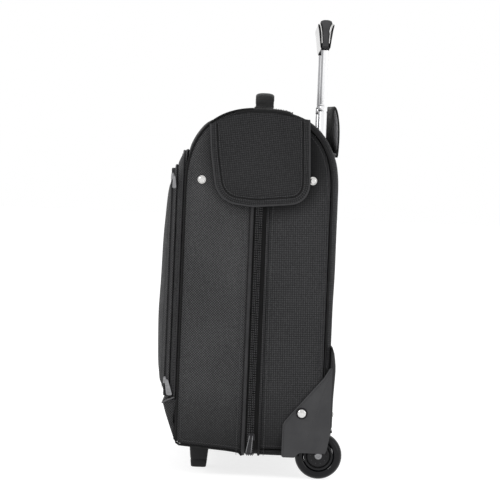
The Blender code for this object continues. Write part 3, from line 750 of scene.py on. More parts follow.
def end_outline(half, inset):
    """The closed outline of one half's end panel, (y, z), clear of the zip and inset from the wall."""
    split = SPLIT_Y + PANEL_GAP[half]
    if half == "rear":
        top = arch_points(angle_at(split + 0.002), 0, 44, inset)
        edge = BACK_Y - inset
        corner = CORNER_R - inset * 0.5
        low = arc_points((edge - corner, BASE_Z + inset + corner), corner, 0, -math.pi / 2, 6)
        return [*top, (edge, BASE_Z + inset + corner), *low, (split, BASE_Z + inset)], split
    top = arch_points(angle_at(split - 0.002), math.pi, 34, inset)
    return [*top, *front_foot(inset), (split, BASE_Z + inset)], split


PANEL_EDGE = {"rear": EDGE_R["rear"] + 0.0018, "front": 0.0006}
PIPING_EDGE = {"rear": EDGE_R["rear"] - 0.0006, "front": -0.0010}


def end_panel(half, side, sign, material):
    """A padded end panel: it bulges a little, wrinkles near the floor and curves in under the bag."""
    outline, split = end_outline(half, PANEL_EDGE[half])
    path = even_path(outline, 0.004)
    ys = [p[0] for p in path]
    reach = (lambda y: y - split) if half == "rear" else (lambda y: split - y)
    far = max(reach(y) for y in ys)
    # columns run from the zip to the bag's outer wall; each spans from the lower to the upper edge
    top = [p for p in path if p[1] > MIDDLE_Z]
    low = [p for p in path if p[1] <= MIDDLE_Z]

    def level(points, y, pick):
        found = []
        for a, b in zip(points, points[1:]):
            if min(a[0], b[0]) - 1e-7 <= y <= max(a[0], b[0]) + 1e-7:
                share = 0 if abs(b[0] - a[0]) < 1e-9 else (y - a[0]) / (b[0] - a[0])
                found.append(a[1] + (b[1] - a[1]) * share)
        return pick(found) if found else pick(p[1] for p in points)

    columns = 30
    rows = []
    for i in range(columns + 1):
        share = i / columns
        share = 1 - (1 - share) ** 1.35
        y = split + (far - 1e-6) * share * (1 if half == "rear" else -1)
        z_low, z_high = level(low, y, min), level(top, y, max)
        row = []
        for k in range(101):
            t = k / 100
            z = z_low + (z_high - z_low) * t
            edge = min(share, 1 - share) * far
            gap = min(edge, z - z_low, z_high - z)
            soft = smoothstep(0, 0.020, gap)
            bulge = 0.0018 * soft
            crease = smoothstep(0.150, 0.045, z) * soft
            shift = 0.0009 * wave((y, 0, z), 0.045, 3 + sign) * soft
            shift += 0.0026 * crease * wave((y * 2.4, 0.3, z * 0.35), 0.016, 8 + sign)
            x = HALF - 0.0006 + bulge + shift - tuck(z)
            row.append(Vector((sign * x, y, z)))
        rows.append(row)
    bm = grid(rows, outward=lambda c: Vector((sign, 0, 0)), uv=lambda p: (p.y, p.z))
    obj = add_piece(f"{half}_end_cloth_{side}", bm, [material, LINING], f"{half}_half", "fabric")
    return solidify(obj, 0.0015, inner=1)


def seam_path(half, inset, sign, lift=0.0):
    """A line on an end panel, inset from the bag's walls and lifted from the panel."""
    outline, _ = end_outline(half, inset)
    points = even_path(outline, 0.005)
    return [Vector((sign * (HALF + lift - tuck(z)), y, z)) for y, z in points]


def build_shell():
    rear = wall_piece("rear_wrap", rear_profile(), 1, EDGE_R["rear"], "rear_half", FABRIC_REAR,
                      lambda p: in_wheel_well(p) or in_tube_slot(p))
    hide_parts("back_panel", "rear_base", "rear_shoulder")
    front = wall_piece("front_wrap", front_profile(), 2, EDGE_R["front"], "front_half", FABRIC)
    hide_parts("front_panel", "front_base", "front_shoulder")
    for side, sign in SIDES:
        for half, material in (("rear", FABRIC_REAR), ("front", FABRIC)):
            panel = end_panel(half, side, sign, material)
            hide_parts(f"{half}_end_panel_{side}")
            seam = seam_path(half, PIPING_EDGE[half], sign, -0.0008)
            if half == "rear":
                seam = [p for p in seam if not in_wheel_well(p)]
            add_piece(f"{half}_end_piping_{side}", tube(seam, 0.0016, count=10), TAPE, f"{half}_half",
                      "binding")
            row = seam_path(half, PANEL_EDGE[half] + 0.0045, sign, 0.0003)
            row = [p for p in row if not in_wheel_well(p)]
            sew(f"{half}_end_stitches_{side}", row, (sign, 0, 0), f"{half}_half")


build_shell()


# ---------------------------------------------------------------- zips, flaps and pocket
def inset_outline(outline, distance):
    """A closed outline moved inwards by a distance along its corner normals."""
    if distance == 0:
        return outline
    count = len(outline)
    area = sum(outline[i][0] * outline[(i + 1) % count][1] - outline[(i + 1) % count][0] * outline[i][1]
               for i in range(count))
    turn = 1 if area > 0 else -1
    moved = []
    for i in range(count):
        before = Vector(outline[i]) - Vector(outline[i - 1])
        after = Vector(outline[(i + 1) % count]) - Vector(outline[i])
        along = (before.normalized() + after.normalized()).normalized()
        normal = Vector((-along.y, along.x)) * turn
        moved.append((outline[i][0] + normal.x * distance, outline[i][1] + normal.y * distance))
    return moved


def even_closed(outline, pitch):
    """A closed outline again, at an even pitch."""
    path = [Vector(p) for p in outline] + [Vector(outline[0])]
    total = sum((b - a).length for a, b in zip(path, path[1:]))
    count = max(int(total / pitch), 8)
    out, carried, k = [], 0.0, 0
    for i in range(count):
        want = total * i / count
        while carried + (path[k + 1] - path[k]).length < want:
            carried += (path[k + 1] - path[k]).length
            k += 1
        length = max((path[k + 1] - path[k]).length, 1e-9)
        out.append(tuple(path[k].lerp(path[k + 1], (want - carried) / length)))
    return out


def edge_distance(points, outline):
    """The distance from each point to a closed outline."""
    p = np.array(points)[:, None, :]
    a = np.array(outline)[None, :, :]
    b = np.roll(np.array(outline), -1, axis=0)[None, :, :]
    share = np.clip(((p - a) * (b - a)).sum(2) / np.maximum(((b - a) ** 2).sum(2), 1e-12), 0, 1)
    return np.sqrt(((p - a - share[..., None] * (b - a)) ** 2).sum(2)).min(1)


def disc(outline, place, rings=24, centre=None):
    """A sheet inside a closed outline. place(a, b, edge) gives each point; the UV map is (a, b)."""
    mid = Vector(centre) if centre else sum((Vector(p) for p in outline), Vector((0, 0))) / len(outline)
    flat = []
    for r in range(rings):
        share = 1 - (r / rings) ** 1.15
        flat.append([tuple(mid.lerp(Vector(p), share)) for p in outline])
    every = [p for ring in flat for p in ring] + [tuple(mid)]
    edges = edge_distance(every, outline)
    bm = bmesh.new()
    layer = bm.loops.layers.uv.new("UVMap")
    verts = [bm.verts.new(place(p[0], p[1], e)) for p, e in zip(every, edges)]
    n = len(outline)
    at = {v: p for v, p in zip(verts, every)}
    for r in range(rings):
        for k in range(n):
            m = (k + 1) % n
            if r < rings - 1:
                corners = (r * n + k, r * n + m, (r + 1) * n + m, (r + 1) * n + k)
            else:
                corners = (r * n + k, r * n + m, len(verts) - 1)
            face = bm.faces.new([verts[c] for c in corners])
            for loop in face.loops:
                loop[layer].uv = at[loop.vert]
    return bm


def face_outwards(bm, outward):
    bm.normal_update()
    if sum(f.normal.dot(outward) * f.calc_area() for f in bm.faces) < 0:
        bmesh.ops.reverse_faces(bm, faces=bm.faces)
    return bm


CHAIN_Y = SPLIT_Y - 0.0014


def zip_path(lift):
    """The main zip's line, (x, z): down one end, under the base and up the other end."""
    low, top, step = 0.042, 0.4300, 0.004
    count = int((top - low) / step)
    side = [(HALF + lift - tuck(top - (top - low) * i / count), top - (top - low) * i / count)
            for i in range(count + 1)]
    corner = [(0.2745 + lift * 0.8, 0.0375), (0.2700 + lift * 0.6, 0.0330 - lift * 0.5),
              (0.2620, BASE_Z + 0.0004 - lift), (0.2500, BASE_Z - lift)]
    under = [(0.25 - 0.5 * i / 80, BASE_Z - lift) for i in range(1, 80)]
    half = [*side, *corner]
    return [*half, *under, *[(-x, z) for x, z in reversed(half)]]


def zip_strip(y, lift):
    """The main zip's line at a depth y and a lift from the bag."""
    return [Vector((x, y, z)) for x, z in zip_path(lift)]


def zip_side(i, tangent):
    """Across a zip, for sweep()."""
    return Vector((0, 1, 0))


def zip_up(point):
    """Away from the bag along the main zip."""
    return Vector((math.copysign(1, point.x), 0, 0)) if point.z > 0.040 else Vector((0, 0, -1))


def build_main_zip():
    for half, sign, tape_y, lip_y, stitch_y in (
        ("front", -1, SPLIT_Y - 0.0085, SPLIT_Y - 0.0112, SPLIT_Y - 0.0205),
        ("rear", 1, SPLIT_Y + 0.0060, SPLIT_Y + 0.0110, SPLIT_Y + 0.0178),
    ):
        body = f"{half}_half"
        width = 0.0078 if half == "front" else 0.0058
        section = [(-width, -0.0004), (width, -0.0004), (width, 0.0003), (-width, 0.0003)]
        strip = add_piece(f"{half}_tape", sweep(zip_strip(tape_y, -0.0012), zip_side, section), TAPE, body,
                          "zip_tape")
        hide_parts(f"{half}_zip_tape")
        lip = (0.0026, 0.0017) if half == "front" else (0.0018, 0.0013)
        cloth = FABRIC if half == "front" else FABRIC_REAR
        add_piece(f"{half}_lip", sweep(zip_strip(lip_y, 0.0006), zip_side, oval(*lip, 12)),
                  PIPING if half == "front" else cloth, body, "binding")
        sew(f"{half}_zip_stitches", zip_strip(stitch_y, 0.0016), zip_up, body)
        # painted highlight: the near row of light beads sits over the coil's tooth heads and stands for the
        # light they catch; the far row is the coil's stitching
        for row, reach in (("near", 0.0013), ("far", 0.0038)):
            items = stitch_items(zip_strip(CHAIN_Y + sign * reach, 0.0021), zip_up, 0.0034, 0.0018, 0.0014)
            add_piece(f"{half}_coil_stitches_{row}", beads(items), COIL_THREAD_AND_HIGHLIGHT, body, "zip_tape")
        teeth = []
        line = resample(zip_strip(CHAIN_Y + sign * 0.0020, 0.0004), 0.0015)
        for k, (centre, _) in enumerate(line):
            if k % 2 == (0 if half == "front" else 1):
                teeth.append((centre, Vector((0, 1, 0)), zip_up(centre), 0.0042, 0.0017, 0.0018))
        add_piece(f"{half}_teeth", beads(teeth, 8), COIL, body, "zip_tape")
        core = sweep(zip_strip(CHAIN_Y + sign * 0.0052, 0.0002), zip_side, oval(0.0008, 0.0007, 8))
        add_piece(f"{half}_coil_cord", core, TAPE, body, "zip_tape")


def flap_top(y):
    """The height of a flap's seam, just under the arch and proud of it at the back corner."""
    height = arch_height(y) - 0.0042 + 0.0062 * smoothstep(0.052, 0.068, y)
    return height + 0.0040 * smoothstep(-0.058, -0.069, y)


def flap_outline():
    low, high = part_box("end_flap_r")
    front, rear = low.y, high.y
    corners = [
        (front, flap_top(front), 0),
        (-0.0665, 0.4500, 0.060),
        (-0.0560, 0.3850, 0.034),
        (-0.0060, 0.3795, 0.070),
        (0.0715, 0.3872, 0.027),
        (rear, 0.4300, 0.020),
        (rear - 0.003, flap_top(rear - 0.003), 0),
        *((y, flap_top(y), 0) for y in (0.060, 0.045, 0.025, 0.004, -0.018, -0.038, -0.055)),
    ]
    return fillet(corners, 8)


def band(path, normals, lift, section):
    """A section of (distance inwards, height) along a path of (y, z) with its inward normals."""
    rows = []
    for (y, z), normal in zip(path, normals):
        rows.append([lift(y + normal.x * w, z + normal.y * w, h) for w, h in section])
    return loft(rows)


def nearest(points, y):
    """Which of a flap's points is nearest the top of its seam at a depth y."""
    corner = Vector((y, flap_top(y)))
    return min(range(len(points)), key=lambda i: (Vector(points[i]) - corner).length)


def build_flap(side, sign):
    body = f"end_flap_{side}"
    outline = even_closed(flap_outline(), 0.0045)
    low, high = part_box("end_flap_r")

    def surface(y, z, edge):
        bow = 0.0022 * smoothstep(0, 0.045, edge)
        wavy = 0.0007 * wave((y, sign, z), 0.05, 12)
        hang = 0.0016 * smoothstep(0.47, 0.39, z)
        return low.x + 0.0006 + bow + wavy + hang * 0.6

    def place(y, z, edge):
        return Vector((sign * surface(y, z, edge), y, z))

    bm = face_outwards(disc(outline, place, 22, (0, 0.445)), Vector((sign, 0, 0)))
    cloth = add_piece(f"flap_cloth_{side}", bm, [FABRIC_FLAP, LINING], body, "fabric")
    solidify(cloth, CLOTH, inner=1)
    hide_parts(body)

    start = nearest(outline, low.y)
    ring = outline[start:] + outline[:start]
    if ring[3][1] > ring[0][1] + 0.004 or abs(ring[6][0] - ring[0][0]) > 0.012:
        ring = [ring[0]] + ring[:0:-1]
    stop = nearest(ring, high.y - 0.003)
    path = even_path(ring[:stop + 1], 0.004)
    middle = Vector((0, 0.45))
    normals = inwards(path)
    normals = [n if n.dot(middle - Vector(p)) > 0 else -n for n, p in zip(normals, path)]

    def lift(y, z, h):
        return Vector((sign * (surface(y, z, 0.004) + h), y, z))

    section = [(-0.0006, -0.0020), (0.0075, -0.0022), (0.0080, -0.0014), (0.0082, 0.0004), (0.0078, 0.0012),
               (0.0040, 0.0016), (0.0008, 0.0014), (-0.0012, 0.0006), (-0.0014, -0.0010)]
    add_piece(f"flap_binding_{side}", band(path, normals, lift, section), FABRIC_FLAP, body, "binding")
    groove = [(0.0080, -0.0016), (0.0096, -0.0016), (0.0098, 0.0002), (0.0089, 0.0005), (0.0081, 0.0002)]
    add_piece(f"flap_groove_{side}", band(path, normals, lift, groove), TAPE, body, "binding")
    rim = [(-0.0016, -0.0012), (-0.0004, -0.0018), (0.0010, -0.0012), (0.0012, 0.0012), (0.0, 0.0017),
           (-0.0014, 0.0010)]
    add_piece(f"flap_edge_{side}", band(path, normals, lift, rim), BINDING, body, "binding")
    for name, inset, height in (("outer", 0.0066, 0.0017), ("inner", 0.0112, 0.0009)):
        line = [lift(y + n.x * inset, z + n.y * inset, height) for (y, z), n in zip(path, normals)]
        sew(f"flap_{name}_stitches_{side}", line, (sign, 0, 0), body)


def perimeter(half, top, bottom, radius):
    """A rounded arch in (x, z), from its left foot over the top to its right foot."""
    left = arc_points((-half + radius, top - radius), radius, math.pi, math.pi / 2, 8)
    right = [(-x, z) for x, z in reversed(left)]
    return even_path([(-half, bottom), *left, *right, (half, bottom)], WALL_PITCH)


def pocket_depth(x, z, edge):
    """How far forward the pocket's face stands."""
    t = min(max((z - 0.108) / 0.316, 0), 1)
    belly = 0.0094 * math.sin(math.pi * t**0.62) ** 0.62
    across = 1 - 0.10 * (abs(x) / 0.272) ** 4
    roll = 0.0030 * smoothstep(0, 0.009, edge)
    fold = 0.0011 * wave((x, 0.4, z), 0.07, 21) * smoothstep(0.004, 0.03, edge)
    return 0.1182 + roll + (belly * across) * smoothstep(0, 0.022, edge) + fold


def settled(place, half, low, high, cap):
    """How far padding pushes each spot of a cloth face forward, from a cloth held round its edge."""
    across, up = 68, 40
    spots = [(-half + 2 * half * i / across, low + (high - low) * k / up)
             for k in range(up + 1) for i in range(across + 1)]

    def edge_of(x, z):
        return min(half - abs(x), z - low, high - z)

    mesh = bpy.data.meshes.new("settling")
    starts = [place(x, z, edge_of(x, z)) for x, z in spots]
    row = across + 1
    faces = [(a, a + 1, a + 1 + row, a + row) for k in range(up) for a in range(k * row, k * row + across)]
    mesh.from_pydata(starts, [], faces)
    obj = bpy.data.objects.new("settling", mesh)
    bpy.context.scene.collection.objects.link(obj)
    held = obj.vertex_groups.new(name="held")
    held.add([i for i, (x, z) in enumerate(spots) if edge_of(x, z) < 0.013], 1.0, "REPLACE")
    cloth = obj.modifiers.new("cloth", "CLOTH")
    settings = cloth.settings
    settings.vertex_group_mass = "held"
    settings.quality = 6
    settings.mass = 0.3
    settings.tension_stiffness = settings.compression_stiffness = 12
    settings.shear_stiffness = 6
    settings.bending_stiffness = 0.6
    settings.shrink_min = -0.010
    settings.use_pressure = True
    settings.uniform_pressure_force = 4
    settings.effector_weights.gravity = 0
    cloth.collision_settings.use_collision = False
    scene = bpy.context.scene
    for frame in range(1, 21):
        scene.frame_set(frame)
    final = obj.evaluated_get(bpy.context.evaluated_depsgraph_get()).to_mesh()
    moved = [cap * math.tanh((start.y - vertex.co.y) / cap) for start, vertex in zip(starts, final.vertices)]
    scene.frame_set(1)
    bpy.data.objects.remove(obj)
    bpy.data.meshes.remove(mesh)

    def at(x, z):
        u = min(max((x + half) / (2 * half) * across, 0), across - 0.001)
        v = min(max((z - low) / (high - low) * up, 0), up - 0.001)
        i, k = int(u), int(v)
        u, v = u - i, v - k
        first = k * row + i
        near = moved[first] * (1 - u) + moved[first + 1] * u
        far = moved[first + row] * (1 - u) + moved[first + row + 1] * u
        return near * (1 - v) + far * v

    return at


def build_pocket():
    gusset_rows = []
    for y, half, top in ((-0.1010, 0.2725, 0.4565), (-0.1032, 0.2738, 0.4555), (-0.1064, 0.2736, 0.4520),
                         (-0.1095, 0.2728, 0.4465), (-0.1122, 0.2720, 0.4405), (-0.1136, 0.2712, 0.4365)):
        path = perimeter(half, top, 0.106, 0.030)
        count = 150
        length = sum((Vector(b) - Vector(a)).length for a, b in zip(path, path[1:]))
        path = even_path(path, length / count)[:count]
        gusset_rows.append([Vector((x, y + 0.0006 * wave((x, y, z), 0.03, 5), z)) for x, z in path])
    gusset = add_piece("pocket_gusset_cloth", grid(gusset_rows), [FABRIC, LINING], "front_half", "fabric")
    solidify(gusset, 0.0014, inner=1)
    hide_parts("pocket_gusset")

    def rim(y, half, top, section, name, material, body, slot):
        path = [Vector((x, y, z)) for x, z in perimeter(half, top, 0.109, 0.028)]
        obj = add_piece(name, sweep(path, zip_side, section), material, body, slot)
        return obj, path

    rim(-0.1060, 0.2740, 0.4536, oval(0.0015, 0.0015, 10), "pocket_seam_piping", PIPING, "front_half",
        "binding")
    rim(-0.1160, 0.2716, 0.4325, oval(0.0017, 0.0020, 12), "pocket_lip", FABRIC, "front_half", "fabric")
    rim(-0.1140, 0.2690, 0.4330, [(-0.0035, -0.0004), (0.0035, -0.0004), (0.0035, 0.0004), (-0.0035, 0.0004)],
        "pocket_tape_rear", TAPE, "front_half", "zip_tape")
    rim(-0.1195, 0.2690, 0.4262, [(-0.0026, -0.0004), (0.0026, -0.0004), (0.0026, 0.0004), (-0.0026, 0.0004)],
        "pocket_tape_front", TAPE, "pocket_panel", "zip_tape")
    for name, y, parity, body in (("front", -0.1207, 0, "pocket_panel"), ("rear", -0.1178, 1, "front_half")):
        path = [Vector((x, y, z)) for x, z in perimeter(0.2704, 0.4285, 0.111, 0.028)]
        teeth = []
        for k, (centre, direction) in enumerate(resample(path, 0.0013)):
            if k % 2 == parity:
                out = Vector((0, 1, 0)).cross(direction)
                out = out if out.dot(centre - Vector((0, centre.y, 0.2))) > 0 else -out
                teeth.append((centre, Vector((0, 1, 0)), out, 0.0040, 0.0017, 0.0016))
        add_piece(f"pocket_teeth_{name}", beads(teeth), COIL, body, "zip_tape")
    stitches = [Vector((x, -0.1085, z)) for x, z in perimeter(0.2724, 0.4495, 0.112, 0.030)]
    sew("pocket_gusset_stitches", stitches, lambda c: Vector((c.x, 0, max(c.z - 0.3, 0) * 1.6)), "front_half")

    top, bottom, half = 0.4262, 0.1085, 0.2700
    arch = perimeter(half, top, bottom + 0.004, 0.026)
    reach = half - 0.004
    between = [(reach - (2 * half - 0.008) * i / 90, bottom) for i in range(1, 90)]
    foot = [(reach, bottom), *between, (-reach, bottom)]
    outline = even_closed([*arch, *foot], 0.0065)

    def cut(x, z, edge):
        return Vector((x, -pocket_depth(x, z, edge), z))

    push = settled(cut, half, bottom, top, 0.0040)

    def place(x, z, edge):
        return cut(x, z, edge) - Vector((0, push(x, z) * smoothstep(0.012, 0.020, edge), 0))

    bm = face_outwards(disc(outline, place, 46, (0, 0.28)), Vector((0, -1, 0)))
    face = add_piece("pocket_face", bm, [FABRIC, LINING], "pocket_panel", "fabric")
    solidify(face, 0.0018, inner=1)
    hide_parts("pocket_panel")
    for name, inset in (("edge", 0.0055), ("inner", 0.0125)):
        line = inset_outline(outline, inset)
        points = [Vector((x, -pocket_depth(x, z, inset) - 0.0004, z)) for x, z in line]
        sew(f"pocket_face_{name}_stitches", points, (0, -1, 0), "pocket_panel", closed=True)
    edging = [Vector((x, -pocket_depth(x, z, 0.0) + 0.0006, z)) for x, z in outline]
    add_piece("pocket_face_edging", sweep(edging, zip_side, oval(0.0022, 0.0013, 10), True), BINDING,
              "pocket_panel", "binding")


def pillow(name, outline, half, radius, materials, body, slot, bulge):
    """A soft block: an outline (y, z) from end to end of x, with rounded ends."""
    outline = even_closed(outline, 0.0032)
    rows = []
    steps = [math.pi / 2 * k / 5 for k in range(6)]
    flat = half - radius
    count = int(2 * flat / 0.008)
    stations = [(-flat - radius * math.sin(a), radius * (1 - math.cos(a))) for a in reversed(steps)]
    stations += [(-flat + 2 * flat * i / count, 0) for i in range(1, count)]
    stations += [(flat + radius * math.sin(a), radius * (1 - math.cos(a))) for a in steps]
    for x, inset in stations:
        row = inset_outline(outline, inset)
        swell = bulge * smoothstep(half, half - 0.03, abs(x))
        rows.append([Vector((x, y + swell * wave((x, y, z), 0.05, 31), z + swell * wave((x, z, y), 0.05, 33)))
                     for y, z in row])
    bm = grid(rows, close_columns=True)
    layer = bm.loops.layers.uv.active
    bm.verts.ensure_lookup_table()
    for end, edge_row, x in ((-1, 0, -half), (1, len(rows) - 1, half)):
        n = len(outline)
        ring = bm.verts[edge_row * n: edge_row * n + n]
        middle = sum((v.co for v in ring), Vector()) / n
        inner = ring
        for share in (0.75, 0.5, 0.25):
            lift = end * 0.0008 * (1 - share)
            fresh = [bm.verts.new(middle.lerp(v.co, share) + Vector((lift, 0, 0))) for v in ring]
            for k in range(n):
                m = (k + 1) % n
                bm.faces.new((inner[k], inner[m], fresh[m], fresh[k]))
            inner = fresh
        bm.faces.new(inner)
        bm.verts.ensure_lookup_table()
    bmesh.ops.recalc_face_normals(bm, faces=bm.faces)
    for f in bm.faces:
        if abs(f.normal.x) > 0.7:
            for loop in f.loops:
                loop[layer].uv = (loop.vert.co.y, loop.vert.co.z)
    return add_piece(name, bm, materials, body, slot)


def build_cuff():
    back = FRONT_Y + 0.0008
    profile = [(back, 0.0440, 0.0004), (-0.1035, 0.0450, 0.0015), (-0.1095, 0.0610, 0.02),
               (-0.1175, 0.0830, 0.03), (-0.1226, 0.1000, 0.0022), (-0.1218, 0.1030, 0.0012),
               (back, 0.1075, 0.001)]
    outline = fillet(profile, 5)
    cuff = pillow("cuff_cloth", outline, 0.2740, 0.005, FABRIC, "front_half", "fabric", 0.0005)
    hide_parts("cuff_panel")
    ridge = [(-0.1060, 0.1072), (-0.1120, 0.1046), (-0.1180, 0.1020), (-0.1214, 0.0996)]
    side = [Vector((0.2744, y, z)) for y, z in ridge]
    front = [Vector((0.270 - 0.540 * i / 60, -0.1228, 0.0988)) for i in range(61)]
    path = [*side, *front, *[Vector((-p.x, p.y, p.z)) for p in reversed(side)]]
    add_piece("cuff_piping", tube(path, 0.0012, count=10), PALE_CORD, "front_half", "binding")
    for side_name, sign in SIDES:
        line = [Vector((sign * 0.2748, y, z))
                for y, z in ((-0.1020, 0.1030), (-0.1110, 0.1022), (-0.1190, 0.0995))]
        sew(f"cuff_stitches_{side_name}", line, (sign, 0, 0), "front_half")


def build_slider(name, body, centre, sign, size, material):
    """A zip slider: a low saddle with a bridge on it."""
    length, width, height = size
    base = [(-0.5, -0.36), (-0.42, -0.5), (0.30, -0.44), (0.5, -0.26), (0.5, 0.26), (0.30, 0.44),
            (-0.42, 0.5), (-0.5, 0.36)]
    rows = []
    for h, grow in ((0, 0.92), (0.30, 1.0), (0.48, 0.9), (0.52, 0.6)):
        rows.append([Vector((sign * (centre[0] + h * height), centre[1] + b * width * grow,
                             centre[2] + a * length * grow)) for a, b in base])
    obj = add_piece(name, loft(rows), material, body, "nickel")
    bevel(obj, 0.0005, 3)
    bridge = []
    for k in range(9):
        angle = math.pi * k / 8
        bridge.append(Vector((sign * (centre[0] + height * (0.42 + 0.52 * math.sin(angle))), centre[1],
                              centre[2] + length * 0.36 * math.cos(angle))))
    add_piece(name + "_bridge", sweep(bridge, zip_side, oval(width * 0.17, height * 0.10, 10, 0.7)), material,
              body, "nickel")
    return obj


def build_pull(name, body, top, sign, length, width, thick, material, lean=0.0):
    """A zip pull: a satin tab with a waist, a raised rim and a hole at its top."""
    outline = fillet([(-0.5 * width, -length, 0.0022), (0.5 * width, -length, 0.0022),
                      (0.36 * width, -0.35 * length, 0.003), (0.30 * width, 0, 0.0014),
                      (-0.30 * width, 0, 0.0014), (-0.36 * width, -0.35 * length, 0.003)], 5)
    outline = even_closed(outline, 0.0011)
    rows = []
    for x, inset in ((0.0, 0.0004), (0.0004, 0.0), (thick - 0.0004, 0.0), (thick, 0.0004), (thick, 0.0013),
                     (thick - 0.0005, 0.0018)):
        ring = inset_outline(outline, inset)
        rows.append([Vector((sign * (top[0] + x), top[1] + a + lean * b, top[2] + b)) for a, b in ring])
    return add_piece(name, loft(rows), material, body, "nickel")


def build_zip_hardware(side, sign):
    low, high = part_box("zip_slider_r")
    centre = (low.x - 0.0004, SPLIT_Y, (low.z + high.z) / 2)
    slider = build_slider(f"main_slider_{side}", f"zip_slider_{side}", centre, sign,
                          (high.z - low.z, high.y - low.y, high.x - low.x), PULL)
    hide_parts(f"zip_slider_{side}")
    low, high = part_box("zip_pull_r")
    length, lean = high.z - low.z, 0.12
    pull = build_pull(f"main_pull_{side}", f"zip_pull_{side}", (low.x, SPLIT_Y, high.z), sign, length, 0.0080,
                      high.x - low.x, PULL, lean)
    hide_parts(f"zip_pull_{side}")
    for name, edge in (("a", -1), ("b", 1)):
        line = []
        for down, wide in ((0.06, 0.27), (0.35, 0.33), (0.65, 0.40), (0.93, 0.44)):
            y = SPLIT_Y + edge * 0.0080 * wide - lean * down * length
            line.append(Vector((sign * (high.x - 0.0002), y, high.z - down * length)))
        add_piece(f"main_pull_edge_{name}_{side}", tube(line, 0.0005, count=8), SATIN, f"zip_pull_{side}",
                  "nickel")
    for place, drop, wide in (("lower", 0.0225, 0.0088), ("upper", 0.0180, 0.0060)):
        node = f"pocket_slider_{place}_{side}"
        low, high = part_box(f"pocket_slider_{place}_r")
        top = high.z
        centre = (low.x + 0.0002, -0.1206, top - 0.005)
        slider = build_slider(f"pocket_{place}_slider_{side}", node, centre, sign, (0.0095, 0.0048, 0.0026),
                              SATIN)
        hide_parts(node)
        build_pull(f"pocket_{place}_tab_{side}", node, (low.x + 0.0018, -0.1185, top - 0.004), sign, drop,
                   wide, 0.0014, SATIN, -0.24 if place == "lower" else -0.05)


build_main_zip()
build_pocket()
build_cuff()
for side, sign in SIDES:
    build_flap(side, sign)
    build_zip_hardware(side, sign)


# ---------------------------------------------------------------- studs, feet, guards and wheels
def build_stud(name, node, side, sign, body, seat, ringed):
    """A metal stud on the bag's side, plain or with a raised ring, with a near-black ring round its foot that
    is painted shade.
    """
    low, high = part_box(f"{node}_r")
    y, z = (low.y + high.y) / 2, (low.z + high.z) / 2
    radius = (high.z - low.z) / 2 * 0.84
    top = high.x
    if ringed:
        profile = [(seat, radius), (top - 0.0012, radius), (top - 0.0007, radius * 0.95),
                   (top - 0.0006, radius * 0.84), (top - 0.0011, radius * 0.76),
                   (top - 0.0011, radius * 0.70), (top - 0.0004, radius * 0.64),
                   (top - 0.0001, radius * 0.42), (top, radius * 0.14)]
    else:
        profile = [(seat, radius), (top - 0.0016, radius), (top - 0.0009, radius * 0.90),
                   (top - 0.0003, radius * 0.62), (top, radius * 0.18)]
    stud = add_piece(f"{name}_{side}", lathe(profile, (0, y, z), "x", sign, 48), NICKEL, body, "nickel")
    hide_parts(f"{node}_{side}")
    # painted shade: a near-black ring round the stud's foot
    stud_shade_ring = [(seat - 0.0004, radius * 1.36), (seat + 0.0006, radius * 1.36), (seat + 0.0009, radius * 1.26),
              (seat + 0.0009, radius * 0.9)]
    add_piece(f"{name}_washer_{side}", lathe(stud_shade_ring, (0, y, z), "x", sign, 48), TYRE, body, "nickel")


def build_foot(side, sign):
    low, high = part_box("foot_r")
    centre = Vector((sign * (low.x + high.x) / 2, (low.y + high.y) / 2, 0))
    half_x, half_y, top = (high.x - low.x) / 2, (high.y - low.y) / 2, high.z
    rows = []
    for share, grow, inset in ((0, 0.74, 0.0012), (0.0, 0.76, 0.0), (0.10, 0.79, 0), (0.30, 0.84, 0),
                               (0.33, 0.82, 0), (0.37, 0.82, 0), (0.40, 0.86, 0), (0.72, 0.93, 0),
                               (0.90, 0.97, 0), (1.0, 1.0, 0)):
        a, b = half_x * grow - inset, half_y * grow - inset
        ring = rounded(a, b, -a, -b, 0.0042, 5)
        z = top * share + (0.0010 if share == 0 and inset == 0 else 0)
        rows.append([Vector((centre.x + p[0], centre.y + p[1], z)) for p in ring])
    foot = add_piece(f"foot_block_{side}", loft(rows), BLACK, "front_half", "black_plastic")
    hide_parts(f"foot_{side}")
    a, b = half_x + 0.003, half_y + 0.003
    flange = rounded(a, b, -a, -b, 0.006, 5)
    rows = [[Vector((centre.x + a, centre.y + b, top - 0.0006 - b * 0.048 + h)) for a, b in flange]
            for h in (-0.0018, 0.0006, 0.0040)]
    plate = add_piece(f"foot_flange_{side}", loft(rows), BLACK, "front_half", "black_plastic")
    bevel(plate, 0.0006)
    for dx in (-half_x - 0.0004, half_x + 0.0004):
        spot = Vector((centre.x + dx, centre.y, top - 0.0030))
        head = [(0.0, 0.0014), (0.0006, 0.0013), (0.0010, 0.0008), (0.0011, 0.0003)]
        add_piece(f"foot_screw_{side}_{'a' if dx < 0 else 'b'}", lathe(head, spot, "z", -1, 20), NICKEL,
                  "front_half", "nickel")


def well_points(radius):
    """An arc over the wheel, from its front round to its back."""
    return arc_points((WHEEL.y, WHEEL_R), radius, math.pi, math.radians(62), 30)


def slab(name, outline, inner, outer, sign, material, body, slot, width=0.0012, segments=4):
    low, high = sorted((sign * inner, sign * outer))
    obj = add_piece(name, prism(outline, low, high), material, body, slot)
    bevel(obj, width, segments, 40)
    return obj


